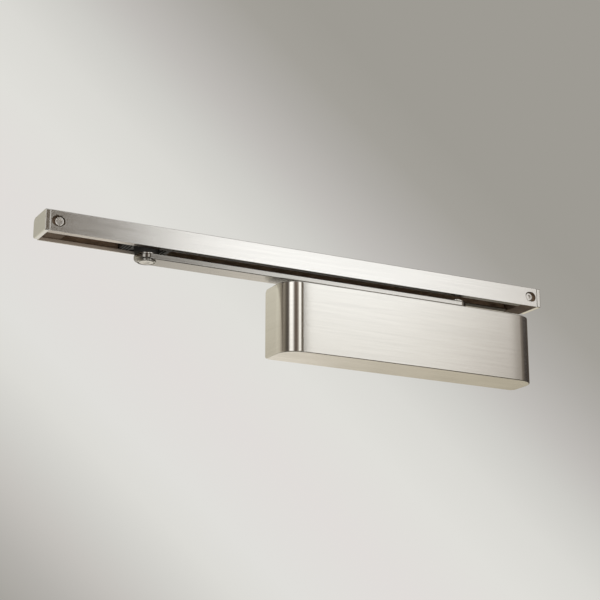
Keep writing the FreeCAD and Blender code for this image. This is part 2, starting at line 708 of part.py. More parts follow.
def make_inner_spring():
    """Inner return spring as a plain sleeve of its own diameter."""
    inner = INNER_SPRING_RADIUS - INNER_SPRING_WIRE
    return ring(INNER_SPRING_RADIUS, inner, on_bore(SEAT_RIGHT), on_bore(PISTON_LEFT))


def make_spring_seat():
    """Threaded seat that the power screw moves along the bore."""
    outer = BORE_RADIUS - SLIDING_GAP
    inner = POWER_SCREW_RADIUS + RUNNING_FIT
    return ring(outer, inner, on_bore(SEAT_LEFT), on_bore(SEAT_RIGHT))


def make_power_screw():
    """Screw through the left plug, with a collar inside it and a socket outside."""
    outside = on_bore(-PLUG_OUTSIDE)
    collar_left = on_bore(-PLUG_INSIDE + RUNNING_FIT)
    collar_right = on_bore(COLLAR_RIGHT + RUNNING_FIT)
    screw = rod(POWER_SCREW_RADIUS, outside, on_bore(POWER_SCREW_TIP))
    screw = screw.fuse(rod(POWER_SCREW_COLLAR_RADIUS, collar_left, collar_right))
    socket_floor = on_bore(-PLUG_OUTSIDE + PLUG_SOCKET_DEPTH)
    return screw.cut(hexagon_bar(POWER_SCREW_SOCKET_RADIUS, outside, socket_floor))


def make_valve_screw(place):
    """Metering screw with a tapered tip and a six-sided socket."""
    y, z = place
    outside = Vector(HOUSING_END + VALVE_PROUD, y, z)
    tip = Vector(outside.x - VALVE_LENGTH, y, z)
    shoulder = Vector(tip.x + VALVE_RADIUS, y, z)
    screw = rod(VALVE_RADIUS, shoulder, outside).fuse(cone(VALVE_TIP_RADIUS, VALVE_RADIUS, tip, shoulder))
    socket_floor = Vector(outside.x - VALVE_RADIUS, y, z)
    return screw.cut(hexagon_bar(VALVE_SOCKET_RADIUS, socket_floor, outside))


def clip_foot_centre(side):
    """X of the middle of a clip's foot."""
    outer = COVER_INSIDE_END - SLIDING_GAP
    return side * (outer - CLIP_FOOT / 2)


def clip_rivet(side, clearance):
    """Rivet through a clip's foot and the plate, grown by a clearance."""
    x = clip_foot_centre(side)
    front = HOUSING_REAR - CLIP_THICKNESS
    shank = rod(RIVET_RADIUS + clearance, Vector(x, front, 0), Vector(x, 0, 0))
    head_front = front - RIVET_HEAD_HEIGHT - clearance
    head = rod(RIVET_HEAD_RADIUS + clearance, Vector(x, head_front, 0), Vector(x, front, 0))
    return shank.fuse(head)


def cover_clip(side):
    """Bent strip on the plate whose leg lies along the cover's end wall."""
    outer = COVER_INSIDE_END - SLIDING_GAP
    front = HOUSING_REAR - CLIP_THICKNESS
    width = (-CLIP_WIDTH / 2, CLIP_WIDTH / 2)
    foot_x = sorted((side * outer, side * (outer - CLIP_FOOT)))
    leg_x = sorted((side * outer, side * (outer - CLIP_THICKNESS)))
    foot = box(foot_x, (front, HOUSING_REAR), width)
    leg = box(leg_x, (front - CLIP_REACH, front), width)
    hole = rod(RIVET_RADIUS + RUNNING_FIT, Vector(clip_foot_centre(side), front, 0),
               Vector(clip_foot_centre(side), HOUSING_REAR, 0))
    return fuse_all([foot, leg]).cut(hole)


def arm_outline():
    """Outline of the arm: two round ends joined by their tangents."""
    spindle = on_spindle(ARM_BOTTOM)
    pivot = on_pivot(ARM_BOTTOM)
    along = (pivot - spindle).normalize()
    across = Vector(-along.y, along.x, 0)
    lean = (ARM_SPINDLE_END_RADIUS - ARM_PIVOT_END_RADIUS) / ARM_CENTRES
    spread = math.sqrt(1 - lean * lean)
    left = along * lean + across * spread
    right = along * lean - across * spread
    start = spindle + left * ARM_SPINDLE_END_RADIUS
    pivot_left = pivot + left * ARM_PIVOT_END_RADIUS
    pivot_right = pivot + right * ARM_PIVOT_END_RADIUS
    end = spindle + right * ARM_SPINDLE_END_RADIUS
    edges = [
        Part.LineSegment(start, pivot_left),
        Part.Arc(pivot_left, pivot + along * ARM_PIVOT_END_RADIUS, pivot_right),
        Part.LineSegment(pivot_right, end),
        Part.Arc(end, spindle - along * ARM_SPINDLE_END_RADIUS, start),
    ]
    return Part.Wire([edge.toShape() for edge in edges])


def make_arm():
    """Flat bar with rounded edges, a square hole and a pivot hole."""
    bar = Part.Face(arm_outline()).extrude(Vector(0, 0, ARM_THICKNESS))
    rims = []
    for height in (ARM_BOTTOM, ARM_TOP):
        rims += edges_where(bar, lambda b: is_level_at(b, height))
    bar = bar.makeFillet(ARM_EDGE_RADIUS, rims)
    bar = bar.cut(square_bar(SPINDLE_SQUARE + 2 * RUNNING_FIT, ARM_BOTTOM, ARM_TOP))
    return bar.cut(rod(PIVOT_PIN_RADIUS + RUNNING_FIT, on_pivot(ARM_BOTTOM), on_pivot(ARM_TOP)))


def make_arm_washer():
    """Washer over the square hole of the arm."""
    top = ARM_TOP + ARM_WASHER_THICKNESS
    return ring(ARM_WASHER_RADIUS, ARM_SCREW_RADIUS + ASSEMBLY_GAP, on_spindle(ARM_TOP), on_spindle(top))


def make_arm_screw():
    """Screw that clamps the arm to the spindle, with a six-sided socket."""
    seat = ARM_TOP + ARM_WASHER_THICKNESS
    top = seat + ARM_SCREW_HEAD_HEIGHT
    screw = rod(ARM_SCREW_RADIUS, on_spindle(ARM_TOP - ARM_SCREW_LENGTH), on_spindle(seat))
    head = rod(ARM_SCREW_HEAD_RADIUS, on_spindle(seat), on_spindle(top))
    rim = edges_where(head, lambda b: is_level_at(b, top))
    head = head.makeFillet(ARM_SCREW_HEAD_EDGE, rim)
    socket = hexagon_bar(ARM_SCREW_SOCKET_RADIUS, on_spindle(seat), on_spindle(top))
    return screw.fuse(head).cut(socket)


def make_pivot_pin():
    """Pin through the arm, its flat head below and a ring groove at its top."""
    head_bottom = ARM_BOTTOM - PIVOT_HEAD_HEIGHT
    ring_bottom = RING_FLOOR + SLIDING_GAP
    ring_top = ring_bottom + RETAINING_RING_THICKNESS
    head = rod(PIVOT_HEAD_RADIUS, on_pivot(head_bottom), on_pivot(ARM_BOTTOM))
    rim = edges_where(head, lambda b: is_level_at(b, head_bottom))
    head = head.makeFillet(PIVOT_HEAD_EDGE, rim)
    dimple_top = on_pivot(head_bottom + PIVOT_DIMPLE_DEPTH)
    head = head.cut(rod(PIVOT_DIMPLE_RADIUS, on_pivot(head_bottom), dimple_top))
    shank = rod(PIVOT_PIN_RADIUS, on_pivot(ARM_BOTTOM), on_pivot(ring_top + PIVOT_PIN_TIP))
    groove_radius = PIVOT_PIN_RADIUS - RETAINING_GROOVE_DEPTH
    groove = ring(PIVOT_PIN_RADIUS, groove_radius, on_pivot(ring_bottom), on_pivot(ring_top))
    return head.fuse(shank).cut(groove)


def make_retaining_ring():
    """Open ring in the groove of the pivot pin."""
    bottom = on_pivot(RING_FLOOR + SLIDING_GAP)
    top = on_pivot(RING_FLOOR + SLIDING_GAP + RETAINING_RING_THICKNESS)
    inner = PIVOT_PIN_RADIUS - RETAINING_GROOVE_DEPTH + RUNNING_FIT
    mouth = box((PIVOT_X, PIVOT_X + RETAINING_RING_RADIUS),
                (SLOT_Y - RETAINING_GROOVE_DEPTH, SLOT_Y + RETAINING_GROOVE_DEPTH), (bottom.z, top.z))
    return ring(RETAINING_RING_RADIUS, inner, bottom, top).cut(mouth)


def make_pivot_washer():
    """Thin washer between the arm and the slide block."""
    top = on_pivot(ARM_TOP + PIVOT_WASHER_THICKNESS)
    return ring(PIVOT_WASHER_RADIUS, PIVOT_PIN_RADIUS + RUNNING_FIT, on_pivot(ARM_TOP), top)


def make_pivot_bush():
    """Bush in the slide block that turns on the pivot pin."""
    inner = PIVOT_PIN_RADIUS + RUNNING_FIT
    outer = PIVOT_PIN_RADIUS + PIVOT_BUSH_WALL
    return ring(outer, inner, on_pivot(BLOCK_BOTTOM), on_pivot(RING_FLOOR))


def block_span():
    """X span of the slide block."""
    return (PIVOT_X - BLOCK_LENGTH / 2, PIVOT_X + BLOCK_LENGTH / 2)


def glide_strip(side):
    """Y and Z spans of a glide strip on the block's top."""
    outer = CHANNEL_HALF_WIDTH - SLIDING_GAP - GLIDE_INSET
    y_span = sorted((SLOT_Y + side * outer, SLOT_Y + side * (outer - GLIDE_WIDTH)))
    return y_span, (BLOCK_TOP - GLIDE_GROOVE, CHANNEL_TOP - SLIDING_GAP)


def make_slide_block():
    """Block in the channel, with a neck through the slot and a bore for the bush."""
    neck_half = SLOT_HALF_WIDTH - SLIDING_GAP
    body_half = CHANNEL_HALF_WIDTH - SLIDING_GAP
    shoulder = CHANNEL_BOTTOM + SLIDING_GAP
    body = box(block_span(), (SLOT_Y - body_half, SLOT_Y + body_half), (shoulder, BLOCK_TOP))
    body = body.makeFillet(BLOCK_CORNER_RADIUS, edges_where(body, is_upright))
    neck = box(block_span(), (SLOT_Y - neck_half, SLOT_Y + neck_half), (BLOCK_BOTTOM, shoulder))
    neck = neck.makeFillet(BLOCK_CORNER_RADIUS, edges_where(neck, is_upright))
    block = body.fuse(neck)
    bush_radius = PIVOT_PIN_RADIUS + PIVOT_BUSH_WALL + RUNNING_FIT
    block = block.cut(rod(bush_radius, on_pivot(BLOCK_BOTTOM), on_pivot(BLOCK_TOP)))
    ring_radius = RETAINING_RING_RADIUS + SLIDING_GAP
    block = block.cut(rod(ring_radius, on_pivot(RING_FLOOR), on_pivot(BLOCK_TOP)))
    for side in (-1, 1):
        y_span, z_span = glide_strip(side)
        block = block.cut(box(block_span(), y_span, (z_span[0], BLOCK_TOP)))
    return block


def make_glide_strips():
    """Two strips in the block's top that run on the channel."""
    x_span = (block_span()[0] + BLOCK_CORNER_RADIUS, block_span()[1] - BLOCK_CORNER_RADIUS)
    return Part.makeCompound([box(x_span, *glide_strip(side)) for side in (-1, 1)])


def track_screw_places():
    """X of the two track screws."""
    return (TRACK_LEFT + TRACK_SCREW_INSET, TRACK_RIGHT - TRACK_SCREW_INSET)


def cross_bar(x, radius, front, rear):
    """Round bar across the track at the height of its screws."""
    return rod(radius, Vector(x, front, TRACK_SCREW_Z), Vector(x, rear, TRACK_SCREW_Z))


def make_track_rail():
    """Channel with its slot facing down and holes for its two screws."""
    ends = (TRACK_LEFT + CAP_THICKNESS, TRACK_RIGHT - CAP_THICKNESS)
    rail = box(ends, (-TRACK_DEPTH, 0), (TRACK_BOTTOM, TRACK_TOP))
    long_edges = edges_where(rail, lambda b: b.XLength > TRACK_LENGTH / 2)
    rail = rail.makeFillet(TRACK_EDGE_RADIUS, long_edges)
    channel_y = (SLOT_Y - CHANNEL_HALF_WIDTH, SLOT_Y + CHANNEL_HALF_WIDTH)
    slot_y = (SLOT_Y - SLOT_HALF_WIDTH, SLOT_Y + SLOT_HALF_WIDTH)
    rail = rail.cut(box(ends, channel_y, (CHANNEL_BOTTOM, CHANNEL_TOP)))
    rail = rail.cut(box(ends, slot_y, (TRACK_BOTTOM, CHANNEL_BOTTOM)))
    for x in track_screw_places():
        rail = rail.cut(cross_bar(x, TRACK_HEAD_HOLE_RADIUS, -TRACK_DEPTH, SLOT_Y))
        rail = rail.cut(cross_bar(x, TRACK_SCREW_HOLE_RADIUS, SLOT_Y, 0))
    return rail


def insert_front():
    """Y of the front face of a cap's insert."""
    return SLOT_Y - CHANNEL_HALF_WIDTH + ASSEMBLY_GAP


def track_end_cap(side, fill):
    """Cap on one end of the track, with an insert in the channel and a fill in the slot."""
    end = TRACK_LEFT if side < 0 else TRACK_RIGHT
    rail_end = end - side * CAP_THICKNESS
    cap = box(sorted((end, rail_end)), (-TRACK_DEPTH, 0), (TRACK_BOTTOM, TRACK_TOP))
    outer_corners = edges_where(cap, lambda b: is_upright(b) and is_crossways_at(b, end))
    cap = cap.makeFillet(CAP_CORNER_RADIUS, outer_corners)
    rims = edges_where(cap, lambda b: b.ZLength < ASSEMBLY_GAP and not is_crossways_at(b, rail_end))
    cap = cap.makeFillet(CAP_EDGE_RADIUS, rims)
    half = CHANNEL_HALF_WIDTH - ASSEMBLY_GAP
    insert_x = sorted((rail_end, rail_end - side * CAP_INSERT_LENGTH))
    insert_z = (CHANNEL_BOTTOM + ASSEMBLY_GAP, CHANNEL_TOP - ASSEMBLY_GAP)
    insert = box(insert_x, (SLOT_Y - half, SLOT_Y + half), insert_z)
    fill_half = SLOT_HALF_WIDTH - ASSEMBLY_GAP
    fill_x = sorted((rail_end, rail_end - side * fill))
    filler = box(fill_x, (SLOT_Y - fill_half, SLOT_Y + fill_half), (TRACK_BOTTOM, insert_z[0]))
    cap = fuse_all([cap, insert, filler])
    screw_x = end - side * TRACK_SCREW_INSET
    seat = insert_front() + TRACK_SCREW_SEAT_DEPTH
    cap = cap.cut(cross_bar(screw_x, TRACK_HEAD_HOLE_RADIUS, insert_front(), seat))
    return cap.cut(cross_bar(screw_x, TRACK_SCREW_HOLE_RADIUS, seat, 0))


def track_screw(x):
    """Round-headed screw through a cap's insert, its thread standing out of the track's rear."""
    seat = insert_front() + TRACK_SCREW_SEAT_DEPTH
    front = seat - TRACK_SCREW_HEAD_HEIGHT
    head = cross_bar(x, TRACK_SCREW_HEAD_RADIUS, front, seat)
    rim = edges_where(head, lambda b: b.YMax < front + ASSEMBLY_GAP)
    head = head.makeFillet(TRACK_SCREW_HEAD_EDGE, rim)
    shank = cross_bar(x, TRACK_SCREW_SHANK_RADIUS, seat, 0)
    thread = cross_bar(x, TRACK_SCREW_THREAD_RADIUS, 0, TRACK_SCREW_PROJECTION)
    screw = fuse_all([head, shank, thread])
    socket_start = Vector(x, front, TRACK_SCREW_Z)
    socket_end = Vector(x, front + TRACK_SCREW_HEAD_HEIGHT, TRACK_SCREW_Z)
    return screw.cut(hexagon_bar(TRACK_SCREW_SOCKET_RADIUS, socket_start, socket_end))


def make_nodes():
    """Every piece of the door closer, by its name."""
    valves = {name: make_valve_screw(place) for name, place in valve_places().items()}
    return {
        "cover": make_cover(),
        "mounting_plate": make_mounting_plate(),
        "housing": make_housing(),
        "housing_screws": make_housing_screws(),
        "left_end_plug": make_left_end_plug(),
        "right_end_plug": make_right_end_plug(),
        "end_plug_seals": make_end_plug_seals(),
        "cover_clips": Part.makeCompound([cover_clip(-1), cover_clip(1)]),
        "clip_rivets": Part.makeCompound([clip_rivet(-1, 0), clip_rivet(1, 0)]),
        "spindle": make_spindle(),
        "upper_bearing": make_upper_bearing(),
        "lower_bearing": make_lower_bearing(),
        "spindle_seal": make_spindle_seal(),
        "bearing_nut": make_bearing_nut(),
        "bottom_cap": make_bottom_cap(),
        "piston": make_piston(),
        "piston_seal": seal_ring(piston_seal_x()),
        "check_valve_ball": Part.makeSphere(CHECK_BALL_RADIUS, on_bore(check_valve_seat())),
        "check_valve_plug": make_check_valve_plug(),
        "outer_spring": make_outer_spring(),
        "inner_spring": make_inner_spring(),
        "spring_seat": make_spring_seat(),
        "power_screw": make_power_screw(),
        **valves,
        "arm": make_arm(),
        "arm_washer": make_arm_washer(),
        "arm_screw": make_arm_screw(),
        "pivot_pin": make_pivot_pin(),
        "pivot_washer": make_pivot_washer(),
        "retaining_ring": make_retaining_ring(),
        "pivot_bush": make_pivot_bush(),
        "slide_block": make_slide_block(),
        "glide_strips": make_glide_strips(),
        "track_rail": make_track_rail(),
        "track_left_cap": track_end_cap(-1, CAP_LEFT_FILL),
        "track_right_cap": track_end_cap(1, CAP_RIGHT_FILL),
        "track_screws": Part.makeCompound([track_screw(x) for x in track_screw_places()]),
    }


def main():
    """Write one file for each piece and print where the joints lie."""
    os.makedirs("parts", exist_ok=True)
    for name, shape in make_nodes().items():
        if not shape.isValid():
            raise ValueError(f"{name} is not a valid shape")
        shape.exportStep(f"parts/{name}.step")
        print(f"{name}: {len(shape.Solids)} solids, {shape.Volume:.0f} cubic millimetres")
    left_stop = TRACK_LEFT + CAP_THICKNESS + CAP_INSERT_LENGTH
    right_stop = TRACK_RIGHT - CAP_THICKNESS - CAP_INSERT_LENGTH
    print(f"spindle axis at {SPINDLE_X:.3f}, {SPINDLE_Y:.3f}")
    print(f"pivot axis at {PIVOT_X:.3f}, {SLOT_Y:.3f}")
    print(f"track can move {block_span()[1] - right_stop:.2f} to {block_span()[0] - left_stop:.2f}")
    print(f"pitch radius {PITCH_RADIUS:.4f}, piston travel {PISTON_TRAVEL:.4f}")
    print(f"track screws at {track_screw_places()}, height {TRACK_SCREW_Z:.2f}")
    print(f"fixing holes at {FIXING_X:.2f}, {FIXING_SPACING / 2:.2f}")
    print(f"valves at {valve_places()}, bore at {BORE_Y:.2f}, spring seat travel {SEAT_TRAVEL:.2f}")


main()
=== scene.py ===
"""Looks of a slide arm door closer: a boxed body, one flat arm and a slide track.

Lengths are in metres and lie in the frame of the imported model. X runs along the closer, +Y
points into the door and +Z is up. The origin is the middle of the mounting plate's rear face.
"""

import json
import logging
import math
from collections.abc import Callable, Iterable, Sequence
from dataclasses import dataclass
from enum import Enum
from functools import partial, reduce

import bmesh
import bpy
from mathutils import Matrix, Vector

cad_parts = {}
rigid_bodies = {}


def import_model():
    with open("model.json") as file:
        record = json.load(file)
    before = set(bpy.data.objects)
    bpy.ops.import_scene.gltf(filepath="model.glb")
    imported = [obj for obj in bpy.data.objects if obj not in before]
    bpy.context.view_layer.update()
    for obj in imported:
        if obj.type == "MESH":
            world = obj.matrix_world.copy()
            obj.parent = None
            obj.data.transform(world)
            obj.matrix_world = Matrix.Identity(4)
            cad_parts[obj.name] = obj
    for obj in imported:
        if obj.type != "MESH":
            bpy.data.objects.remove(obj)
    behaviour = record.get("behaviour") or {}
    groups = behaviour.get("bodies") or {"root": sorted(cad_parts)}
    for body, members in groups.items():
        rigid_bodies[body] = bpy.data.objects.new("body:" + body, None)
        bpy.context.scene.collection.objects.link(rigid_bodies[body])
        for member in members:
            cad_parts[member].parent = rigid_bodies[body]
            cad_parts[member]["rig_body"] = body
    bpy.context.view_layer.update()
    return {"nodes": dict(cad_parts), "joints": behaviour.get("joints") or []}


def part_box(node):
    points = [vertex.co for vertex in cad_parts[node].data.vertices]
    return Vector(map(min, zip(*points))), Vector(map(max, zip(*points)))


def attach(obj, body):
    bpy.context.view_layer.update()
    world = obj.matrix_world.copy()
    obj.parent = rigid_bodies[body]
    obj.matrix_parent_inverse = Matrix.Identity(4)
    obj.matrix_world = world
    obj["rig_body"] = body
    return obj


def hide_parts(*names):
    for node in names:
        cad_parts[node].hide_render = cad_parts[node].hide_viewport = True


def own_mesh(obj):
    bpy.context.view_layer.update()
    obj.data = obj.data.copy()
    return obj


Colour = tuple[float, float, float]
Point = tuple[float, float]
Stops = tuple[tuple[float, Colour], ...]
Socket = bpy.types.NodeSocket
Piece = bpy.types.Object

LOG = logging.getLogger("door_closer")
SMOOTH_ANGLE = math.radians(35)
GRAIN_MAP = "grain"
# Numbers of a Mix node's colour sockets, whose names repeat: first, second and result.
MIX_FIRST, MIX_SECOND, MIX_RESULT = 6, 7, 2
# Height that is past the top of every piece.
THROUGH = 0.1


class Axis(Enum):
    """Direction that a prism or a turned piece follows."""

    X = Vector((1, 0, 0))
    Y = Vector((0, 1, 0))
    Z = Vector((0, 0, 1))

    def place(self, first: float, second: float, along: float) -> Vector:
        """Point from two coordinates across the axis and one along it.

        Args:
            first: First coordinate across, in X, Y, Z order.
            second: Second coordinate across.
            along: Coordinate along the axis.

        Returns:
            The point.
        """
        if self is Axis.X:
            return Vector((along, first, second))
        if self is Axis.Y:
            return Vector((first, along, second))
        return Vector((first, second, along))


@dataclass(frozen=True)
class Box:
    """Box of a CAD node at rest."""

    low: Vector
    high: Vector

    @classmethod
    def of(cls, node: str) -> "Box":
        """Box of the node with this name."""
        return cls(*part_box(node))

    @property
    def centre(self) -> Vector:
        """Middle of the box."""
        return (self.low + self.high) / 2


class NodeBuilder:
    """Short calls that add nodes to one tree and join them."""

    def __init__(self, tree: bpy.types.NodeTree) -> None:
        """Work on a node tree."""
        self.nodes = tree.nodes
        self.links = tree.links

    def add(self, kind: str, **settings: object) -> bpy.types.Node:
        """Add a node.

        Args:
            kind: Blender's name for the kind of node.
            settings: Properties to set on it.

        Returns:
            The new node.
        """
        node = self.nodes.new(kind)
        for name, value in settings.items():
            setattr(node, name, value)
        return node

    def join(self, source: "Socket | float | Sequence[float]", target: Socket) -> None:
        """Feed a socket, or a plain value, into another socket.

        Args:
            source: Socket, number or colour to feed in.
            target: Socket that takes it.
        """
        if isinstance(source, bpy.types.NodeSocket):
            self.links.new(source, target)
        elif target.type == "RGBA":
            target.default_value = (*source, 1)
        else:
            target.default_value = source

    def chain(
        self, kind: str, sources: "dict[str | int, object]", result: "str | int" = 0, **settings: object
    ) -> Socket:
        """Add a node and feed its inputs.

        Args:
            kind: Blender's name for the kind of node.
            sources: What goes into its inputs, by name or number.
            result: Name or number of the output that is wanted.
            settings: Properties to set on it.

        Returns:
            Socket of that output.
        """
        node = self.add(kind, **settings)
        for name, source in sources.items():
            self.join(source, node.inputs[name])
        return node.outputs[result]

    def split(self, vector: Socket) -> dict[str, Socket]:
        """Take a vector apart.

        Args:
            vector: Socket of the vector.

        Returns:
            Sockets of its X, Y and Z, by name.
        """
        node = self.add("ShaderNodeSeparateXYZ")
        self.join(vector, node.inputs["Vector"])
        return dict(node.outputs.items())

    def math(self, operation: str, *values: "Socket | float") -> Socket:
        """Result of one of Blender's sums on one to three values."""
        return self.chain("ShaderNodeMath", dict(enumerate(values)), operation=operation)

    def total(self, *values: Socket) -> Socket:
        """Sum of several values."""
        return reduce(partial(self.math, "ADD"), values)

    def spread(
        self,
        value: Socket,
        low: float,
        high: "Socket | float",
        start: "Socket | float" = 0.3,
        end: "Socket | float" = 0.7,
    ) -> Socket:
        """Map a value to a range: start gives the low result and end the high one."""
        limits = {"From Min": start, "From Max": end, "To Min": low, "To Max": high}
        return self.chain("ShaderNodeMapRange", {"Value": value, **limits}, "Result")

    def blend(self, factor: Socket, first: "Socket | Colour", second: "Socket | Colour") -> Socket:
        """Colour between a first one, at factor 0, and a second one, at factor 1."""
        sources = {0: factor, MIX_FIRST: first, MIX_SECOND: second}
        return self.chain("ShaderNodeMix", sources, MIX_RESULT, data_type="RGBA")

    def tint(self, first: Socket, second: Socket) -> Socket:
        """Product of two colours."""
        return self.chain("ShaderNodeVectorMath", {0: first, 1: second}, "Vector", operation="MULTIPLY")

    def choose(self, factor: Socket, first: Socket, second: Socket) -> Socket:
        """Shader between a first one, at factor 0, and a second one, at factor 1."""
        return self.chain("ShaderNodeMixShader", {"Fac": factor, 1: first, 2: second})

    def facing(self, first: Socket, second: "Socket | Vector") -> Socket:
        """Dot product of two directions."""
        return self.chain("ShaderNodeVectorMath", {0: first, 1: second}, "Value", operation="DOT_PRODUCT")

    def ramp(self, position: Socket, stops: Sequence[tuple[float, Colour]]) -> Socket:
        """Colour ramp.

        Args:
            position: Socket from 0 to 1.
            stops: Place and colour of each stop, in order.

        Returns:
            Socket of the colour.
        """
        node = self.add("ShaderNodeValToRGB")
        elements = node.color_ramp.elements
        elements.remove(elements[-1])
        elements[0].position = stops[0][0]
        elements[0].color = (*stops[0][1], 1)
        for place, colour in stops[1:]:
            elements.new(place).color = (*colour, 1)
        self.links.new(position, node.inputs["Fac"])
        return node.outputs["Color"]


class ShaderTree(NodeBuilder):
    """Node tree of one material."""

    def __init__(self, name: str) -> None:
        """Start a material.

        Args:
            name: Name of the material.
        """
        self.material = bpy.data.materials.new(name)
        self.material.use_nodes = True
        super().__init__(self.material.node_tree)
        self.surface = self.nodes["Principled BSDF"]

    def set(self, **values: object) -> None:
        """Set plain values on the surface shader's own sockets, with _ for each space."""
        for name, value in values.items():
            self.surface.inputs[name.replace("_", " ")].default_value = value

    def feed(self, name: str, source: Socket) -> None:
        """Join a socket to the surface shader's input of this name."""
        self.links.new(source, self.surface.inputs[name])

    def grain_map(self) -> Socket:
        """Socket of the piece's own map, whose first axis follows the brushing."""
        return self.add("ShaderNodeUVMap", uv_map=GRAIN_MAP).outputs["UV"]

    def place(self) -> Socket:
        """Socket of the piece's Object coordinates, in metres."""
        return self.add("ShaderNodeTexCoord").outputs["Object"]

    def noise(self, place: Socket, cells: Sequence[float], detail: float = 2.0, dims: str = "3D") -> Socket:
        """Noise between 0 and 1.

        Args:
            place: Socket of the coordinates.
            cells: Cells of the noise per metre on each axis.
            detail: Octaves of finer noise.
            dims: Number of dimensions.

        Returns:
            Socket of the noise.
        """
        vector = self.chain("ShaderNodeMapping", {"Vector": place, "Scale": cells}, "Vector")
        sources = {"Vector": vector, "Scale": 1.0, "Detail": detail}
        return self.chain("ShaderNodeTexNoise", sources, "Fac", noise_dimensions=dims)

    def within(self, place: Socket, low: Sequence[float], high: Sequence[float]) -> Socket:
        """Mask that is 1 between two corners and 0 elsewhere.

        Args:
            place: Socket of the coordinates.
            low: Lower corner.
            high: Upper corner.

        Returns:
            Socket of the mask.
        """
        mask = self.math("ADD", 1.0, 0.0)
        for part, first, last in zip(self.split(place).values(), low, high):
            mask = self.math("MULTIPLY", mask, self.math("GREATER_THAN", part, first))
            mask = self.math("MULTIPLY", mask, self.math("LESS_THAN", part, last))
        return mask

    def relief(self, height: Socket, depth: float, strength: float = 1.0) -> None:
        """Raise the surface by a depth in metres where the height is 1."""
        sources = {"Height": height, "Distance": depth, "Strength": strength}
        self.feed("Normal", self.chain("ShaderNodeBump", sources, "Normal"))

    def rubbed(self, width: float) -> Socket:
        """Mask that is 1 in patches along edges and 0 on flats.

        Args:
            width: Width of the rubbed edge in metres.

        Returns:
            Socket of the mask.
        """
        bevel = self.chain("ShaderNodeBevel", {"Radius": width}, "Normal", samples=4)
        normal = self.add("ShaderNodeNewGeometry").outputs["Normal"]
        edge = self.spread(self.facing(bevel, normal), 1, 0, 0.85, 0.99)
        patches = self.noise(self.place(), (220, 220, 220), 3)
        return self.math("MULTIPLY", edge, self.spread(patches, 0.25, 1))

    def shades(self, tone: Socket, colour: Colour, low: float, high: float) -> Socket:
        """Colour times a low factor where the tone is 0, and times a high one where it is 1."""
        return self.blend(tone, tinted(colour, low), tinted(colour, high))


def tinted(colour: Colour, factor: float) -> Colour:
    """Colour made lighter or darker by a factor, at most white."""
    return tuple(min(1.0, channel * factor) for channel in colour)


@dataclass(frozen=True)
class Coating:
    """Material slot and colour, and the way to a finished material."""

    slot: str
    colour: Colour

    def build(self, name: str) -> bpy.types.Material:
        """Make the material.

        Args:
            name: Name of the material.

        Returns:
            The material.
        """
        tree = ShaderTree(name)
        self.fill(tree)
        return tree.material

    def fill(self, tree: ShaderTree) -> None:
        """Add the nodes of one kind of material to its tree."""
        raise NotImplementedError


@dataclass(frozen=True)
class BrushedMetal(Coating):
    """Metal brushed in one direction: streaks of three widths, cloudy tone and rubbed edges."""

    roughness: float = 0.2
    streak_width: float = 0.0004
    streak_length: float = 0.04
    streak_depth: float = 0.000006
    contrast: float = 0.05
    edge: float = 0.0005

    def coat(self, tree: ShaderTree, colour: Socket) -> Socket:
        """Colour of the metal with whatever lies on it, which is nothing here."""
        return colour

    def fill(self, tree: ShaderTree) -> None:
        """Add the metal's nodes, which follow the piece's grain map.

        Args:
            tree: The material's tree.
        """
        grain = tree.grain_map()
        across, along = 1 / self.streak_width, 1 / self.streak_length
        fine = tree.noise(grain, (along, across, 1), 3, "2D")
        broad = tree.noise(grain, (along / 3, across / 6, 1), 2, "2D")
        hairs = tree.noise(grain, (along / 2, across * 2.2, 1), 1, "2D")
        cloud = tree.noise(tree.place(), (14, 14, 22))
        worn = tree.rubbed(self.edge)
        tone = tree.total(
            tree.spread(fine, 0, 0.3), tree.spread(broad, 0, 0.4), tree.spread(cloud, 0, 0.3, 0.35, 0.65)
        )
        metal = tree.shades(tone, self.colour, 1 - self.contrast, 1 + self.contrast)
        metal = tree.blend(tree.spread(worn, 0, 0.5, 0, 1), metal, tinted(self.colour, 1.2))
        tree.feed("Base Color", self.coat(tree, metal))
        rough = tree.total(
            tree.spread(hairs, -0.03, 0.03),
            tree.spread(cloud, self.roughness - 0.02, self.roughness + 0.02),
            tree.spread(worn, 0, -0.06, 0, 1),
        )
        tree.feed("Roughness", rough)
        tree.set(Metallic=1.0, Anisotropic=1.0, Anisotropic_Rotation=0.25)
        tangent = tree.add("ShaderNodeTangent", direction_type="UV_MAP", uv_map=GRAIN_MAP)
        tree.feed("Tangent", tangent.outputs["Tangent"])
        tree.relief(tree.total(tree.spread(fine, 0, 0.6), tree.spread(hairs, 0, 0.4)), self.streak_depth)


@dataclass(frozen=True)
class EndDarkenedMetal(BrushedMetal):
    """Brushed metal that grows darker towards one end of an axis: painted shade towards the cover's bottom,
    and a darkening towards the arm's pivot end.
    """

    axis: Axis = Axis.Z
    low: float = -0.034
    high: float = 0.034
    low_tone: float = 0.85

    def coat(self, tree: ShaderTree, colour: Socket) -> Socket:
        """Colour of the metal, darker towards the low end of its axis.

        Args:
            tree: The material's tree.
            colour: Socket of the bare metal's colour.

        Returns:
            Socket of the colour.
        """
        # Darker towards the low end of the axis: painted shade on the cover, a darkening towards the pivot
        # end on the arm.
        share = tree.spread(tree.split(tree.place())[self.axis.name], 0, 1, self.low, self.high)
        darker_tint = tinted((1.0, 0.985, 0.965), self.low_tone)
        return tree.tint(colour, tree.blend(share, darker_tint, (1.0, 1.0, 1.0)))


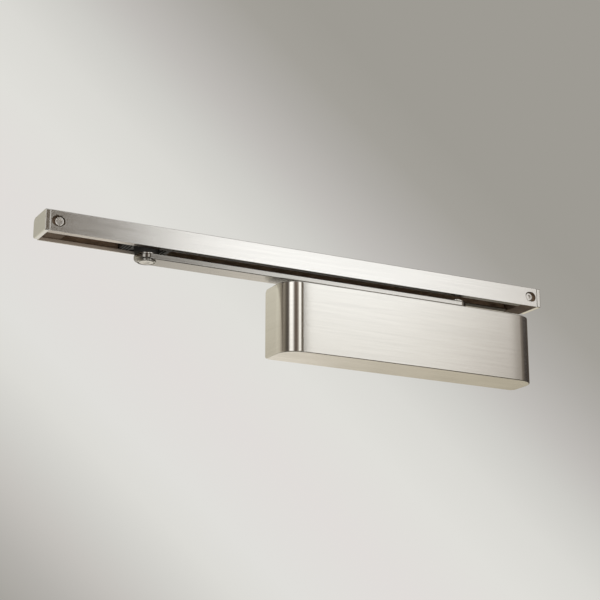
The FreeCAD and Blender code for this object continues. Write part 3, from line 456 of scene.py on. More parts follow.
@dataclass(frozen=True)
class ShadePaintedChannel(BrushedMetal):
    """Brushed metal with painted brown shade inside its channel and on its rear lip, and painted dark shade
    and reflection on both lips' undersides towards +X, where the arm lies below them.
    """

    channel: tuple[Colour, Colour] = ((-1.0, -0.0309, 0.0502), (1.0, -0.0016, 0.0664))
    rear_lip: tuple[Colour, Colour] = ((-1.0, -0.0262, 0.048), (1.0, -0.0017, 0.0504))
    front_lip: tuple[Colour, Colour] = ((-1.0, -0.0323, 0.048), (1.0, -0.0262, 0.0504))
    lip_shade_start: Point = (-0.307, -0.28)
    # Painted shade: brown inside the channel and on the rear lip, part of the channel's on the front lip, and
    # darker on both lips' undersides.
    channel_shade: Colour = (0.36, 0.255, 0.175)
    rear_lip_shade: Colour = (0.2, 0.148, 0.108)
    front_lip_shade_share: float = 0.4
    lip_underside_shade: Colour = (0.055, 0.042, 0.032)
    blotch_tones: Point = (0.7, 1.25)

    def coat(self, tree: ShaderTree, colour: Socket) -> Socket:
        """Colour of the metal, with painted shade in the channel and on the rear lip, and painted shade and
        reflection on the lips' undersides.

        Args:
            tree: The material's tree.
            colour: Socket of the bare metal's colour.

        Returns:
            Socket of the colour.
        """
        # Painted shade and reflection: brown in the channel box and on the rear lip, part of it on the front
        # lip, and dark on both lips' undersides from X about -0.3 on.
        place = tree.place()
        boxes = (self.channel, self.rear_lip, self.front_lip)
        inside, rear, front = (tree.within(place, *box) for box in boxes)
        lip_shade_ramp = tree.spread(tree.split(place)["X"], 0, 1, *self.lip_shade_start)
        below = tree.math("MULTIPLY", tree.math("MAXIMUM", rear, front), lip_shade_ramp)
        inside = tree.math("MAXIMUM", inside, tree.math("MULTIPLY", front, self.front_lip_shade_share))
        blotches = tree.spread(tree.noise(place, (90, 260, 260), 3), 0, 1)
        channel_shade, lip_underside_shade = (tree.shades(blotches, base, *self.blotch_tones) for base in (self.channel_shade, self.lip_underside_shade))
        painted_shade_mask = tree.math("MAXIMUM", tree.math("MAXIMUM", inside, rear), below)
        tree.feed("Metallic", tree.spread(painted_shade_mask, 1, 0.15, 0, 1))
        return tree.blend(below, tree.blend(rear, tree.blend(inside, colour, channel_shade), self.rear_lip_shade), lip_underside_shade)


@dataclass(frozen=True)
class MachinedMetal(Coating):
    """Turned or plated metal: faint tool marks, small pits, a cloudy sheen and rubbed edges."""

    roughness: float
    mark_width: float = 0.0003
    mark_depth: float = 0.000006
    contrast: float = 0.08
    variation: float = 0.05
    edge: float = 0.0004

    def fill(self, tree: ShaderTree) -> None:
        """Add the metal's nodes.

        Args:
            tree: The material's tree.
        """
        place = tree.place()
        across = 1 / self.mark_width
        marks = tree.noise(place, (across * 0.3, across * 0.3, across))
        cloud = tree.noise(place, (60, 60, 60), 3)
        pits = tree.noise(place, (900, 900, 900), 1)
        worn = tree.rubbed(self.edge)
        tone = tree.total(tree.spread(marks, 0, 0.4), tree.spread(cloud, 0, 0.6))
        metal = tree.shades(tone, self.colour, 1 - self.contrast, 1 + self.contrast)
        tree.feed("Base Color", tree.blend(tree.spread(worn, 0, 0.6, 0, 1), metal, tinted(self.colour, 1.25)))
        rough = tree.total(
            tree.spread(cloud, self.roughness - self.variation, self.roughness + self.variation),
            tree.spread(marks, -self.variation / 2, self.variation / 2),
        )
        tree.feed("Roughness", rough)
        tree.set(Metallic=1.0)
        height = tree.total(tree.spread(marks, 0, 0.7), tree.spread(pits, 0, 0.3, 0.5, 0.8))
        tree.relief(height, self.mark_depth)


@dataclass(frozen=True)
class CastMetal(Coating):
    """Cast metal with a grainy skin and brighter rubbed edges."""

    roughness: float = 0.5
    grain: float = 0.0009
    depth: float = 0.00012
    edge: float = 0.0012

    def fill(self, tree: ShaderTree) -> None:
        """Add the metal's nodes.

        Args:
            tree: The material's tree.
        """
        place = tree.place()
        skin = tree.noise(place, (1 / self.grain,) * 3, 4)
        cloud = tree.noise(place, (45, 45, 45))
        worn = tree.rubbed(self.edge)
        metal = tree.shades(tree.spread(cloud, 0, 1), self.colour, 0.85, 1.1)
        tree.feed("Base Color", tree.blend(tree.spread(worn, 0, 0.7, 0, 1), metal, tinted(self.colour, 1.35)))
        rough = tree.spread(skin, self.roughness - 0.08, self.roughness + 0.1)
        tree.feed("Roughness", tree.total(rough, tree.spread(worn, 0, -0.15, 0, 1)))
        tree.set(Metallic=0.9)
        tree.relief(skin, self.depth, 0.6)


@dataclass(frozen=True)
class MouldedPlastic(Coating):
    """Moulded plastic or rubber with a fine matt grain and paler rubbed edges."""

    roughness: float = 0.45
    grain: float = 0.00035
    depth: float = 0.00002
    edge: float = 0.0006

    def fill(self, tree: ShaderTree) -> None:
        """Add the plastic's nodes.

        Args:
            tree: The material's tree.
        """
        place = tree.place()
        skin = tree.noise(place, (1 / self.grain,) * 3, 3)
        cloud = tree.noise(place, (70, 70, 70))
        tone = tree.total(tree.spread(cloud, 0, 0.5), tree.spread(tree.rubbed(self.edge), 0, 0.5, 0, 1))
        tree.feed("Base Color", tree.shades(tone, self.colour, 0.8, 1.7))
        tree.feed("Roughness", tree.spread(skin, self.roughness - 0.08, self.roughness + 0.12))
        tree.set(Metallic=0.0, Specular_IOR_Level=0.45)
        tree.relief(skin, self.depth)


class Finish(Enum):
    """Every finish of the door closer, each with the record's material slot."""

    # Painted shade: the cover darkens towards its bottom.
    COVER = EndDarkenedMetal("satin_cover", (0.64, 0.625, 0.59))
    # Painted shade in the channel and painted shade and reflection on the lips' undersides.
    TRACK = ShadePaintedChannel("satin_track", (0.68, 0.67, 0.645))
    # The arm darkens towards its pivot end, between X -0.24 and -0.06.
    ARM = EndDarkenedMetal(
        "satin_arm", (0.52, 0.505, 0.475),
        streak_width=0.0003, axis=Axis.X, low=-0.24, high=-0.06, low_tone=0.5,
    )
    CAP = MachinedMetal(
        "cap_metal", (0.66, 0.65, 0.62), 0.13, mark_depth=0.000001, contrast=0.03, variation=0.02
    )
    CAP_INSERT = MouldedPlastic("dark_nylon", (0.14, 0.095, 0.062), 0.8)
    PLATE = MachinedMetal("plate_steel", (0.56, 0.57, 0.56), 0.38, mark_width=0.0008)
    CASTING = CastMetal("cast_aluminium", (0.5, 0.5, 0.49))
    STEEL = MachinedMetal("machined_steel", (0.5, 0.49, 0.47), 0.3)
    PIN = MachinedMetal("bright_screw", (0.38, 0.37, 0.345), 0.24)
    SCREW = MachinedMetal("bright_screw", (0.68, 0.66, 0.62), 0.25)
    TRACK_SCREW = MachinedMetal("bright_screw", (0.58, 0.56, 0.53), 0.2)
    BEARING = MachinedMetal("bearing_steel", (0.6, 0.6, 0.59), 0.18)
    SPRING = MachinedMetal("spring_steel", (0.22, 0.22, 0.23), 0.35)
    BRONZE = MachinedMetal("bronze", (0.55, 0.33, 0.14), 0.35)
    RUBBER = MouldedPlastic("black_rubber", (0.02, 0.02, 0.02), 0.7)
    NYLON = MouldedPlastic("dark_nylon", (0.02, 0.018, 0.016), 0.5)

    @property
    def material(self) -> bpy.types.Material:
        """Material of this finish, made at its first use."""
        name = self.name.lower() + "_finish"
        return bpy.data.materials.get(name) or self.value.build(name)


class PatternTree(NodeBuilder):
    """Geometry Nodes tree with named inputs, ending in plain mesh of one finish."""

    def __init__(self, name: str) -> None:
        """Start a tree.

        Args:
            name: Name of the tree.
        """
        self.tree = bpy.data.node_groups.new(name, "GeometryNodeTree")
        self.tree.is_modifier = True
        super().__init__(self.tree)
        self.tree.interface.new_socket("Geometry", in_out="OUTPUT", socket_type="NodeSocketGeometry")
        self.inlet = self.add("NodeGroupInput")
        self.outlet = self.add("NodeGroupOutput")
        self.source = self.input("Geometry", "Geometry")

    def input(self, name: str, kind: str = "Float") -> Socket:
        """Add a named input of one of Blender's kinds and give the socket of its value."""
        self.tree.interface.new_socket(name, in_out="INPUT", socket_type="NodeSocket" + kind)
        return self.inlet.outputs[name]

    def end(self, geometry: Socket) -> None:
        """Realize a geometry, give it the finish and make it the result.

        Args:
            geometry: Socket of the geometry.
        """
        plain = self.chain("GeometryNodeRealizeInstances", {"Geometry": geometry})
        finish = self.input("Finish", "Material")
        painted = self.chain("GeometryNodeSetMaterial", {"Geometry": plain, "Material": finish})
        self.links.new(painted, self.outlet.inputs["Geometry"])

    def grow(self, piece: Piece, values: dict[str, object]) -> Piece:
        """Run the tree on a piece and keep the result as plain mesh.

        Args:
            piece: The piece.
            values: Value of each named input.

        Returns:
            The same piece, without the modifier.
        """
        modifier = piece.modifiers.new(self.tree.name, "NODES")
        modifier.node_group = self.tree
        for item in self.tree.interface.items_tree:
            if item.in_out == "INPUT" and item.name in values:
                modifier[item.identifier] = values[item.name]
        return settle(piece)


class RepeatTree(PatternTree):
    """Rows and columns of one small piece, each turned by chance about its own axis."""

    SEED = 7

    def __init__(self) -> None:
        """Build the tree."""
        super().__init__("repeat_in_rows")
        sources = {
            "Count": self.input("Rows", "Int"),
            "Start Location": self.input("Start", "Vector"),
            "Offset": self.input("Row Step", "Vector"),
        }
        rows = self.chain("GeometryNodeMeshLine", sources)
        sources = {"Count": self.input("Columns", "Int"), "Offset": self.input("Column Step", "Vector")}
        columns = self.chain("GeometryNodeMeshLine", sources)
        grid = self.chain("GeometryNodeInstanceOnPoints", {"Points": rows, "Instance": columns})
        grid = self.chain("GeometryNodeRealizeInstances", {"Geometry": grid})
        chance = self.add("FunctionNodeRandomValue", data_type="FLOAT")
        largest = next(socket for socket in chance.inputs if socket.name == "Max" and socket.type == "VALUE")
        self.join(self.input("Largest Turn"), largest)
        chance.inputs["Seed"].default_value = self.SEED
        angle = next(socket for socket in chance.outputs if socket.type == "VALUE")
        axis = self.input("Axis", "Vector")
        turn = self.chain("FunctionNodeAxisAngleToRotation", {"Axis": axis, "Angle": angle})
        sources = {"Points": grid, "Instance": self.source, "Rotation": turn}
        self.end(self.chain("GeometryNodeInstanceOnPoints", sources))


class CoilTree(PatternTree):
    """Compression spring along X with closed turns at both ends."""

    def __init__(self) -> None:
        """Build the tree."""
        super().__init__("coil_spring")
        names = ("Turns", "Closed Turns", "Coil Radius", "Wire Radius", "Length")
        turns, closed, radius, wire, length = (self.input(name) for name in names)
        start = self.input("Start", "Vector")
        samples = self.input("Samples", "Int")
        index = self.add("GeometryNodeInputIndex").outputs[0]
        turn = self.math("MULTIPLY", self.math("DIVIDE", index, self.math("SUBTRACT", samples, 1.0)), turns)
        last = self.math("SUBTRACT", turns, closed)
        thick = self.math("MULTIPLY", wire, 2.0)
        end_run = self.math("MULTIPLY", thick, closed)
        free = self.math("SUBTRACT", length, thick)
        open_run = self.math("SUBTRACT", free, self.math("MULTIPLY", end_run, 2.0))
        along = self.total(
            wire,
            self.spread(turn, 0.0, end_run, 0.0, closed),
            self.spread(turn, 0.0, open_run, closed, last),
            self.spread(turn, 0.0, end_run, last, turns),
        )
        angle = self.math("MULTIPLY", turn, 2 * math.pi)
        across, up = (self.math("MULTIPLY", radius, self.math(name, angle)) for name in ("COSINE", "SINE"))
        place = self.chain("ShaderNodeCombineXYZ", {"X": along, "Y": across, "Z": up})
        line = self.chain("GeometryNodeMeshLine", {"Count": samples})
        sources = {"Geometry": line, "Position": place, "Offset": start}
        path = self.chain("GeometryNodeMeshToCurve", {"Mesh": self.chain("GeometryNodeSetPosition", sources)})
        profile = self.chain("GeometryNodeCurvePrimitiveCircle", {"Resolution": 12, "Radius": wire})
        sources = {"Curve": path, "Profile Curve": profile, "Fill Caps": True}
        self.end(self.chain("GeometryNodeCurveToMesh", sources))


def arc(centre: Point, radius: float, start: float, end: float, steps: int) -> list[Point]:
    """Points along an arc between two angles in degrees, both ends among them, in this many runs."""
    angles = [math.radians(start + (end - start) * step / steps) for step in range(steps + 1)]
    return [(centre[0] + radius * math.cos(a), centre[1] + radius * math.sin(a)) for a in angles]


def new_object(name: str, mesh: bmesh.types.BMesh) -> Piece:
    """Object from an edited mesh, its faces pointing outwards.

    Args:
        name: Name of the object.
        mesh: Mesh that is used up.

    Returns:
        The object, linked to the scene at the origin.
    """
    bmesh.ops.recalc_face_normals(mesh, faces=mesh.faces)
    data = bpy.data.meshes.new(name)
    mesh.to_mesh(data)
    mesh.free()
    made = bpy.data.objects.new(name, data)
    bpy.context.scene.collection.objects.link(made)
    return made


def layered(name: str, layers: Sequence[tuple[Sequence[Point], float]], axis: Axis) -> Piece:
    """Solid through outlines that follow each other along an axis.

    Args:
        name: Name of the object.
        layers: Outline and place along the axis of each layer, all with as many corners.
        axis: Direction from layer to layer.

    Returns:
        The object.
    """
    mesh = bmesh.new()
    rings = [[mesh.verts.new(axis.place(a, b, along)) for a, b in outline] for outline, along in layers]
    mesh.faces.new(rings[0])
    mesh.faces.new(rings[-1])
    count = len(rings[0])
    for first, second in zip(rings, rings[1:]):
        for index in range(count):
            following = (index + 1) % count
            mesh.faces.new((first[index], first[following], second[following], second[index]))
    bmesh.ops.remove_doubles(mesh, verts=mesh.verts, dist=1e-7)
    return new_object(name, mesh)


def prism(name: str, outline: Sequence[Point], axis: Axis, low: float, high: float) -> Piece:
    """Solid with one outline all along an axis, from low to high."""
    return layered(name, [(outline, low), (outline, high)], axis)


def rounded(
    name: str,
    outline: Callable[[float], Sequence[Point]],
    axis: Axis,
    low: float,
    high: float,
    low_radius: float,
    high_radius: float,
    steps: int = 5,
) -> Piece:
    """Prism whose two rims are rounded off.

    Args:
        name: Name of the object.
        outline: Function from how far the outline is drawn in to its corners.
        axis: Direction of the prism.
        low: Where it starts along the axis.
        high: Where it ends.
        low_radius: Radius of the rim where it starts.
        high_radius: Radius of the rim where it ends.
        steps: Number of flats across each rim.

    Returns:
        The object.
    """
    angles = [math.pi / 2 * step / steps for step in range(steps + 1)]
    layers = [
        (outline(low_radius * (1 - math.sin(angle))), low + low_radius * (1 - math.cos(angle)))
        for angle in (angles if low_radius else angles[-1:])
    ]
    layers += [
        (outline(high_radius * (1 - math.sin(angle))), high - high_radius * (1 - math.cos(angle)))
        for angle in (angles[::-1] if high_radius else angles[-1:])
    ]
    return layered(name, layers, axis)


def rounded_rectangle(
    low: Point, high: Point, radii: Sequence[float], inset: float = 0.0, steps: int = 8
) -> list[Point]:
    """Outline of a rectangle with rounded corners.

    Args:
        low: Its lower corner.
        high: Its upper corner.
        radii: Radius of each corner, from the lower one on, counter-clockwise.
        inset: How far the outline is drawn in.
        steps: Number of flats round each corner.

    Returns:
        Corners in order.
    """
    outline = []
    for index, radius in enumerate(radii):
        kept = max(radius - inset, 0.0002)
        first = high[0] - inset - kept if index in (1, 2) else low[0] + inset + kept
        second = high[1] - inset - kept if index in (2, 3) else low[1] + inset + kept
        outline += arc((first, second), kept, 180 + 90 * index, 270 + 90 * index, steps)
    return outline


def pad(
    name: str,
    low: Point,
    high: Point,
    radii: "float | Sequence[float]",
    axis: Axis,
    span: Point,
    rims: Point,
    flats: tuple[int, int] = (8, 5),
) -> Piece:
    """Prism of a rectangle, with rounded corners and rims.

    Args:
        name: Name of the object.
        low: Lower corner of the rectangle.
        high: Its upper corner.
        radii: Radius of all its corners, or of each from the lower one on, counter-clockwise.
        axis: Direction of the prism.
        span: Where it starts and ends along the axis.
        rims: Radius of the rim at each end.
        flats: Number of flats round each corner and across each rim.

    Returns:
        The object.
    """
    each = (radii,) * 4 if isinstance(radii, float) else radii
    outline = partial(rounded_rectangle, low, high, each, steps=flats[0])
    return rounded(name, outline, axis, *span, *rims, flats[1])


def block(name: str, low: Sequence[float], high: Sequence[float]) -> Piece:
    """Plain block between two corners, to be cut or softened."""
    outline = [(low[0], low[1]), (high[0], low[1]), (high[0], high[1]), (low[0], high[1])]
    return prism(name, outline, Axis.Z, low[2], high[2])


def turned(
    name: str, profile: Sequence[Point], axis: Axis, centre: Point, steps: int = 64
) -> Piece:
    """Solid turned about an axis.

    Args:
        name: Name of the object.
        profile: Radius and place along the axis of each corner, from one end to the other.
        axis: Direction of the axis.
        centre: Where the axis lies across its direction.
        steps: Number of flats round the axis.

    Returns:
        The object.
    """
    mesh = bmesh.new()
    angles = [2 * math.pi * step / steps for step in range(steps)]
    rings = []
    for radius, along in profile:
        if radius < 1e-7:
            rings.append([mesh.verts.new(axis.place(centre[0], centre[1], along))])
            continue
        places = [(centre[0] + radius * math.cos(a), centre[1] + radius * math.sin(a)) for a in angles]
        rings.append([mesh.verts.new(axis.place(a, b, along)) for a, b in places])
    closed = len(rings[0]) > 1
    pairs = list(zip(rings, rings[1:] + rings[:1])) if closed else list(zip(rings, rings[1:]))
    for first, second in pairs:
        for step in range(steps):
            following = (step + 1) % steps
            corners = [first[step % len(first)], first[following % len(first)]]
            corners += [second[following % len(second)], second[step % len(second)]]
            unique = list(dict.fromkeys(corners))
            if len(unique) > 2:
                mesh.faces.new(unique)
    return new_object(name, mesh)


def rod(
    name: str, radius: float, axis: Axis, centre: Point, low: float, high: float, steps: int = 48
) -> Piece:
    """Round bar along an axis, with this many flats."""
    return turned(name, [(0, low), (radius, low), (radius, high), (0, high)], axis, centre, steps)


def settle(piece: Piece) -> Piece:
    """Turn a piece's modifiers into plain mesh.

    Args:
        piece: The piece.

    Returns:
        The same piece, without modifiers.
    """
    graph = bpy.context.evaluated_depsgraph_get()
    old = piece.data
    piece.data = bpy.data.meshes.new_from_object(piece.evaluated_get(graph))
    piece.modifiers.clear()
    bpy.data.meshes.remove(old)
    return piece


def carve(
    piece: Piece, tools: Iterable[Piece], how: str = "DIFFERENCE"
) -> Piece:
    """Cut tools out of a piece, or join them to it.

    Args:
        piece: The piece.
        tools: Objects that are used up.
        how: DIFFERENCE to cut, UNION to join.

    Returns:
        The same piece.
    """
    for tool in tools:
        cutter = piece.modifiers.new("cut", "BOOLEAN")
        cutter.operation = how
        cutter.solver = "EXACT"
        cutter.object = tool
        settle(piece)
        bpy.data.objects.remove(tool)
    return piece


def soften(piece: Piece, width: float, segments: int = 3) -> Piece:
    """Round a piece's sharp edges.

    Args:
        piece: The piece.
        width: Radius of the rounding.
        segments: Number of flats across it.

    Returns:
        The same piece, with the rounding in its mesh.
    """
    bevel = piece.modifiers.new("soft edges", "BEVEL")
    bevel.width = width
    bevel.segments = segments
    bevel.limit_method = "ANGLE"
    bevel.angle_limit = SMOOTH_ANGLE
    bevel.miter_outer = "MITER_ARC"
    return settle(piece)


def shade(piece: Piece) -> Piece:
    """Shade a piece smooth but for its sharp edges, with flats kept flat.

    Args:
        piece: The piece.

    Returns:
        The same piece.
    """
    piece.data.shade_smooth()
    piece.data.set_sharp_from_angle(angle=SMOOTH_ANGLE)
    weigh = piece.modifiers.new("flat faces", "WEIGHTED_NORMAL")
    weigh.keep_sharp = True
    return settle(piece)


def level_grain(point: Vector, normal: Vector) -> Point:
    """Map of a brushing that runs level round a piece, and along X above and below it.

    Args:
        point: Point on the piece.
        normal: Normal there.

    Returns:
        Its place on the map.
    """
    if abs(normal.z) > 0.7:
        return point.x, point.y
    along = Vector((-normal.y, normal.x, 0)).normalized()
    return point.dot(along), point.z


@dataclass(frozen=True)
class RoundGrain:
    """Map of tool marks that run round an axis."""

    axis: Axis
    centre: Vector
    mean_radius: float = 0.008

    def __call__(self, point: Vector, normal: Vector) -> Point:
        """Place along and across the marks.

        Args:
            point: Point on the piece.
            normal: Normal there, which such a map doesn't need.

        Returns:
            Its place on the map.
        """
        away = point - self.centre
        along = away.dot(self.axis.value)
        away = away - self.axis.value * along
        first, second = (other.value for other in Axis if other is not self.axis)
        turn = math.atan2(away.dot(second), away.dot(first))
        return turn * self.mean_radius, away.length + along


def lay_grain(piece: Piece, grain: Callable[[Vector, Vector], Point]) -> None:
    """Give a piece the map that its brushing follows.

    Args:
        piece: The piece.
        grain: Function from a point and its face's normal to its place on the map.
    """
    mesh = piece.data
    layer = mesh.uv_layers.get(GRAIN_MAP) or mesh.uv_layers.new(name=GRAIN_MAP)
    for face in mesh.polygons:
        normal = face.normal
        for loop in face.loop_indices:
            layer.data[loop].uv = grain(mesh.vertices[mesh.loops[loop].vertex_index].co, normal)


def dress(
    piece: Piece,
    finish: Finish,
    body: str,
    *nodes: str,
    grain: Callable[[Vector, Vector], Point] = level_grain,
) -> Piece:
    """Finish a piece and tie it to its body.

    Args:
        piece: The piece.
        finish: Its finish.
        body: Body that it moves with.
        nodes: CAD nodes that it stands for.
        grain: Map that its brushing follows.

    Returns:
        The same piece.
    """
    lay_grain(piece, grain)
    shade(piece)
    piece.data.materials.clear()
    piece.data.materials.append(finish.material)
    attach(piece, body)
    if nodes:
        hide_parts(*nodes)
    LOG.info("%s: %d faces, %s, rides on %s", piece.name, len(piece.data.polygons), finish.name.lower(), body)
    return piece


@dataclass(frozen=True)
class Joints:
    """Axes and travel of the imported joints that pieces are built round."""

    spindle: Vector
    pivot: Vector
    travels: dict[str, float]

    @classmethod
    def of(cls, joints: Sequence[dict]) -> "Joints":
        """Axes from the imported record's joints.

        Args:
            joints: The record's joints.

        Returns:
            The axes and the travels that press the springs.
        """
        found = {joint["name"]: joint for joint in joints}
        spindle, pivot = (Vector(found[name]["pos_m"]) for name in ("arm_swing", "pivot_turn"))
        slides = ("piston_travel", "spring_seat_travel")
        travels = {name: max(abs(limit) for limit in found[name]["range_m"]) for name in slides}
        return cls(spindle, pivot, travels)


@dataclass
class CoverShell:
    """Pull-off cover: folded sheet, round at its two front corners and open at its rear."""

    joints: Joints
    corner_radius: float = 0.0193
    top_radius: float = 0.0009
    bottom_radius: float = 0.0012
    wall: float = 0.0015
    slot_radius: float = 0.0095
    corner_steps: int = 28
    rear_top_radius: float = 0.005
    rear_bottom_radius: float = 0.0025
    rear_cut_depth: float = 0.003
    crown: float = 0.0013
    ease_length: float = 0.01
    ease_slope: float = 0.0436
    crown_steps: int = 48
    beyond: float = 0.01

    def plan(self, inset: float, rear: float) -> list[Point]:
        """Outline seen from above.

        Args:
            inset: How far it is drawn in from the outside.
            rear: Y of its open rear.

        Returns:
            Corners in order.
        """
        box = Box.of("cover")
        left, right = box.low.x + inset, box.high.x - inset
        front = box.low.y + inset
        radius = self.corner_radius - inset
        first, last = left + radius, right - radius
        outline = [(right, rear), (left, rear)]
        outline += arc((first, front + radius), radius, 180, 270, self.corner_steps)
        for step in range(1, self.crown_steps):
            outline.append((first + (last - first) * step / self.crown_steps, front))
        outline += arc((last, front + radius), radius, 270, 360, self.corner_steps)
        depth = box.high.y - front
        return [(x, y + self.bow(abs(x)) * max(0.0, box.high.y - y) / depth) for x, y in outline]

    def bow(self, reach: float) -> float:
        """How far the front lies back at a distance from its middle, where it is crowned.

        Args:
            reach: The distance from the middle.

        Returns:
            The depth, which grows faster just before each corner.
        """
        half = Box.of("cover").high.x
        flat = half - self.corner_radius
        start = flat - self.ease_length
        depth = self.crown * (reach / half) ** 2
        if reach > flat:
            return depth + self.ease_slope * (self.ease_length / 2 + reach - flat)
        return depth + self.ease_slope * max(0.0, reach - start) ** 2 / (2 * self.ease_length)

    def grain(self, point: Vector, normal: Vector) -> Point:
        """Map of the brushing, which runs level round the front and both ends.

        Args:
            point: Point on the cover.
            normal: Normal there.

        Returns:
            Its place on the map.
        """
        if abs(normal.z) > 0.7:
            return point.x, point.y
        box = Box.of("cover")
        flat = box.high.x - self.corner_radius
        bend = box.low.y + self.corner_radius
        side = 1 if point.x > 0 else -1
        past = abs(point.x) - flat
        before = bend - point.y
        if past <= 0:
            return point.x, point.z
        if before <= 0:
            return side * (flat + self.corner_radius * math.pi / 2 - before), point.z
        return side * (flat + self.corner_radius * math.atan2(past, before)), point.z

    def rear_cuts(self) -> list[Piece]:
        """Tools that round the rear corners of both end walls.

        Returns:
            The tools.
        """
        box = Box.of("cover")
        rear = box.high.y
        top, bottom = self.rear_top_radius, self.rear_bottom_radius
        upper = arc((rear - top, box.high.z - top), top, 90, 0, 10)
        upper += [(rear + self.beyond, box.high.z - top), (rear + self.beyond, box.high.z + self.beyond)]
        upper += [(rear - top, box.high.z + self.beyond)]
        lower = arc((rear - bottom, box.low.z + bottom), bottom, 0, -90, 8)
        lower += [(rear - bottom, box.low.z - self.beyond), (rear + self.beyond, box.low.z - self.beyond)]
        lower += [(rear + self.beyond, box.low.z + bottom)]
        spans = [
            (box.low.x - self.beyond, box.low.x + self.rear_cut_depth),
            (box.high.x - self.rear_cut_depth, box.high.x + self.beyond),
        ]
        return [prism("cut", outline, Axis.X, *span) for span in spans for outline in (upper, lower)]

    def build(self) -> None:
        """Make and dress the cover."""
        box = Box.of("cover")
        shell = rounded(
            "cover_shell",
            lambda inset: self.plan(inset, box.high.y),
            Axis.Z,
            box.low.z,
            box.high.z,
            self.bottom_radius,
            self.top_radius,
        )
        inner = self.plan(self.wall, box.high.y + self.beyond)
        inside = prism("inside", inner, Axis.Z, box.low.z + self.wall, box.high.z - self.wall)
        spindle = self.joints.spindle
        slot = arc((spindle.x, spindle.y), self.slot_radius, 180, 360, 24)
        slot += [(spindle.x + self.slot_radius, self.beyond), (spindle.x - self.slot_radius, self.beyond)]
        opening = prism("slot", slot, Axis.Z, 0, box.high.z + self.beyond)
        carve(shell, [inside, opening, *self.rear_cuts()])
        dress(shell, Finish.COVER, "cover", "cover", grain=self.grain)


@dataclass
class SwingArm:
    """Flat arm with round ends and the pivot pin's head."""

    joints: Joints
    spindle_end_radius: float = 0.0095
    pivot_end_radius: float = 0.0115
    top_radius: float = 0.0012
    bottom_radius: float = 0.002
    spindle_rim_share: float = 0.12
    pin_radius: float = 0.005
    head_face_radius: float = 0.0068
    head_groove_width: float = 0.0013
    head_groove_depth: float = 0.0008
    dimple_radius: float = 0.0034
    dimple_depth: float = 0.0004

    def outline(self, inset: float = 0.0) -> list[Point]:
        """Outline of the arm seen from above, two round ends joined by straight sides.

        Args:
            inset: How far it is drawn in.

        Returns:
            Corners in order.
        """
        spindle, pivot = self.joints.spindle, self.joints.pivot
        run = Vector((pivot.x - spindle.x, pivot.y - spindle.y))
        heading = math.degrees(math.atan2(run.y, run.x))
        lean = math.degrees(math.asin((self.pivot_end_radius - self.spindle_end_radius) / run.length))
        reach = 90 + lean
        outline = arc((pivot.x, pivot.y), self.pivot_end_radius - inset, heading - reach, heading + reach, 36)
        radius = self.spindle_end_radius - inset * self.spindle_rim_share
        outline += arc((spindle.x, spindle.y), radius, heading + reach, heading + 360 - reach, 36)
        return outline

    def build_bar(self) -> None:
        """Make and dress the bar."""
        box = Box.of("arm")
        bar = rounded(
            "arm_bar", self.outline, Axis.Z, box.low.z, box.high.z, self.bottom_radius, self.top_radius
        )
        holes = [
            rod("hole", self.pin_radius + 0.00005, Axis.Z, tuple(self.joints.pivot[:2]), 0, THROUGH),
            rod("hole", self.pin_radius + 0.0021, Axis.Z, tuple(self.joints.spindle[:2]), 0, THROUGH, 4),
        ]
        carve(bar, holes)
        dress(bar, Finish.ARM, "arm", "arm")

    def build_pin(self) -> None:
        """Make and dress the pivot pin."""
        box = Box.of("pivot_pin")
        arm = Box.of("arm")
        rim = box.high.x - self.joints.pivot.x
        under = box.low.z
        round_edge = 0.0004
        groove_outer = self.head_face_radius + self.head_groove_width
        profile = [
            (0, under + self.dimple_depth),
            (self.dimple_radius * 0.4, under + self.dimple_depth * 0.9),
            (self.dimple_radius * 0.75, under + self.dimple_depth * 0.5),
            (self.dimple_radius, under + 0.00003),
            (self.dimple_radius + 0.0002, under),
            (self.head_face_radius - 0.0002, under),
            (self.head_face_radius, under + 0.0002),
            (self.head_face_radius, under + self.head_groove_depth),
            (groove_outer, under + self.head_groove_depth),
            (groove_outer, under + 0.0002),
            (groove_outer + 0.0001, under + 0.0001),
        ]
        profile += arc((rim - round_edge, under + 0.0001 + round_edge), round_edge, -90, 0, 4)
        profile += [
            (rim, arm.low.z),
            (self.pin_radius, arm.low.z),
            (self.pin_radius, box.high.z - 0.0004),
            (self.pin_radius - 0.0004, box.high.z),
            (0, box.high.z),
        ]
        pin = turned("pivot_pin_turned", profile, Axis.Z, tuple(self.joints.pivot[:2]), 72)
        dress(pin, Finish.PIN, "arm", "pivot_pin", grain=RoundGrain(Axis.Z, self.joints.pivot))

    def build(self) -> None:
        """Make every piece of the arm."""
        self.build_bar()
        self.build_pin()


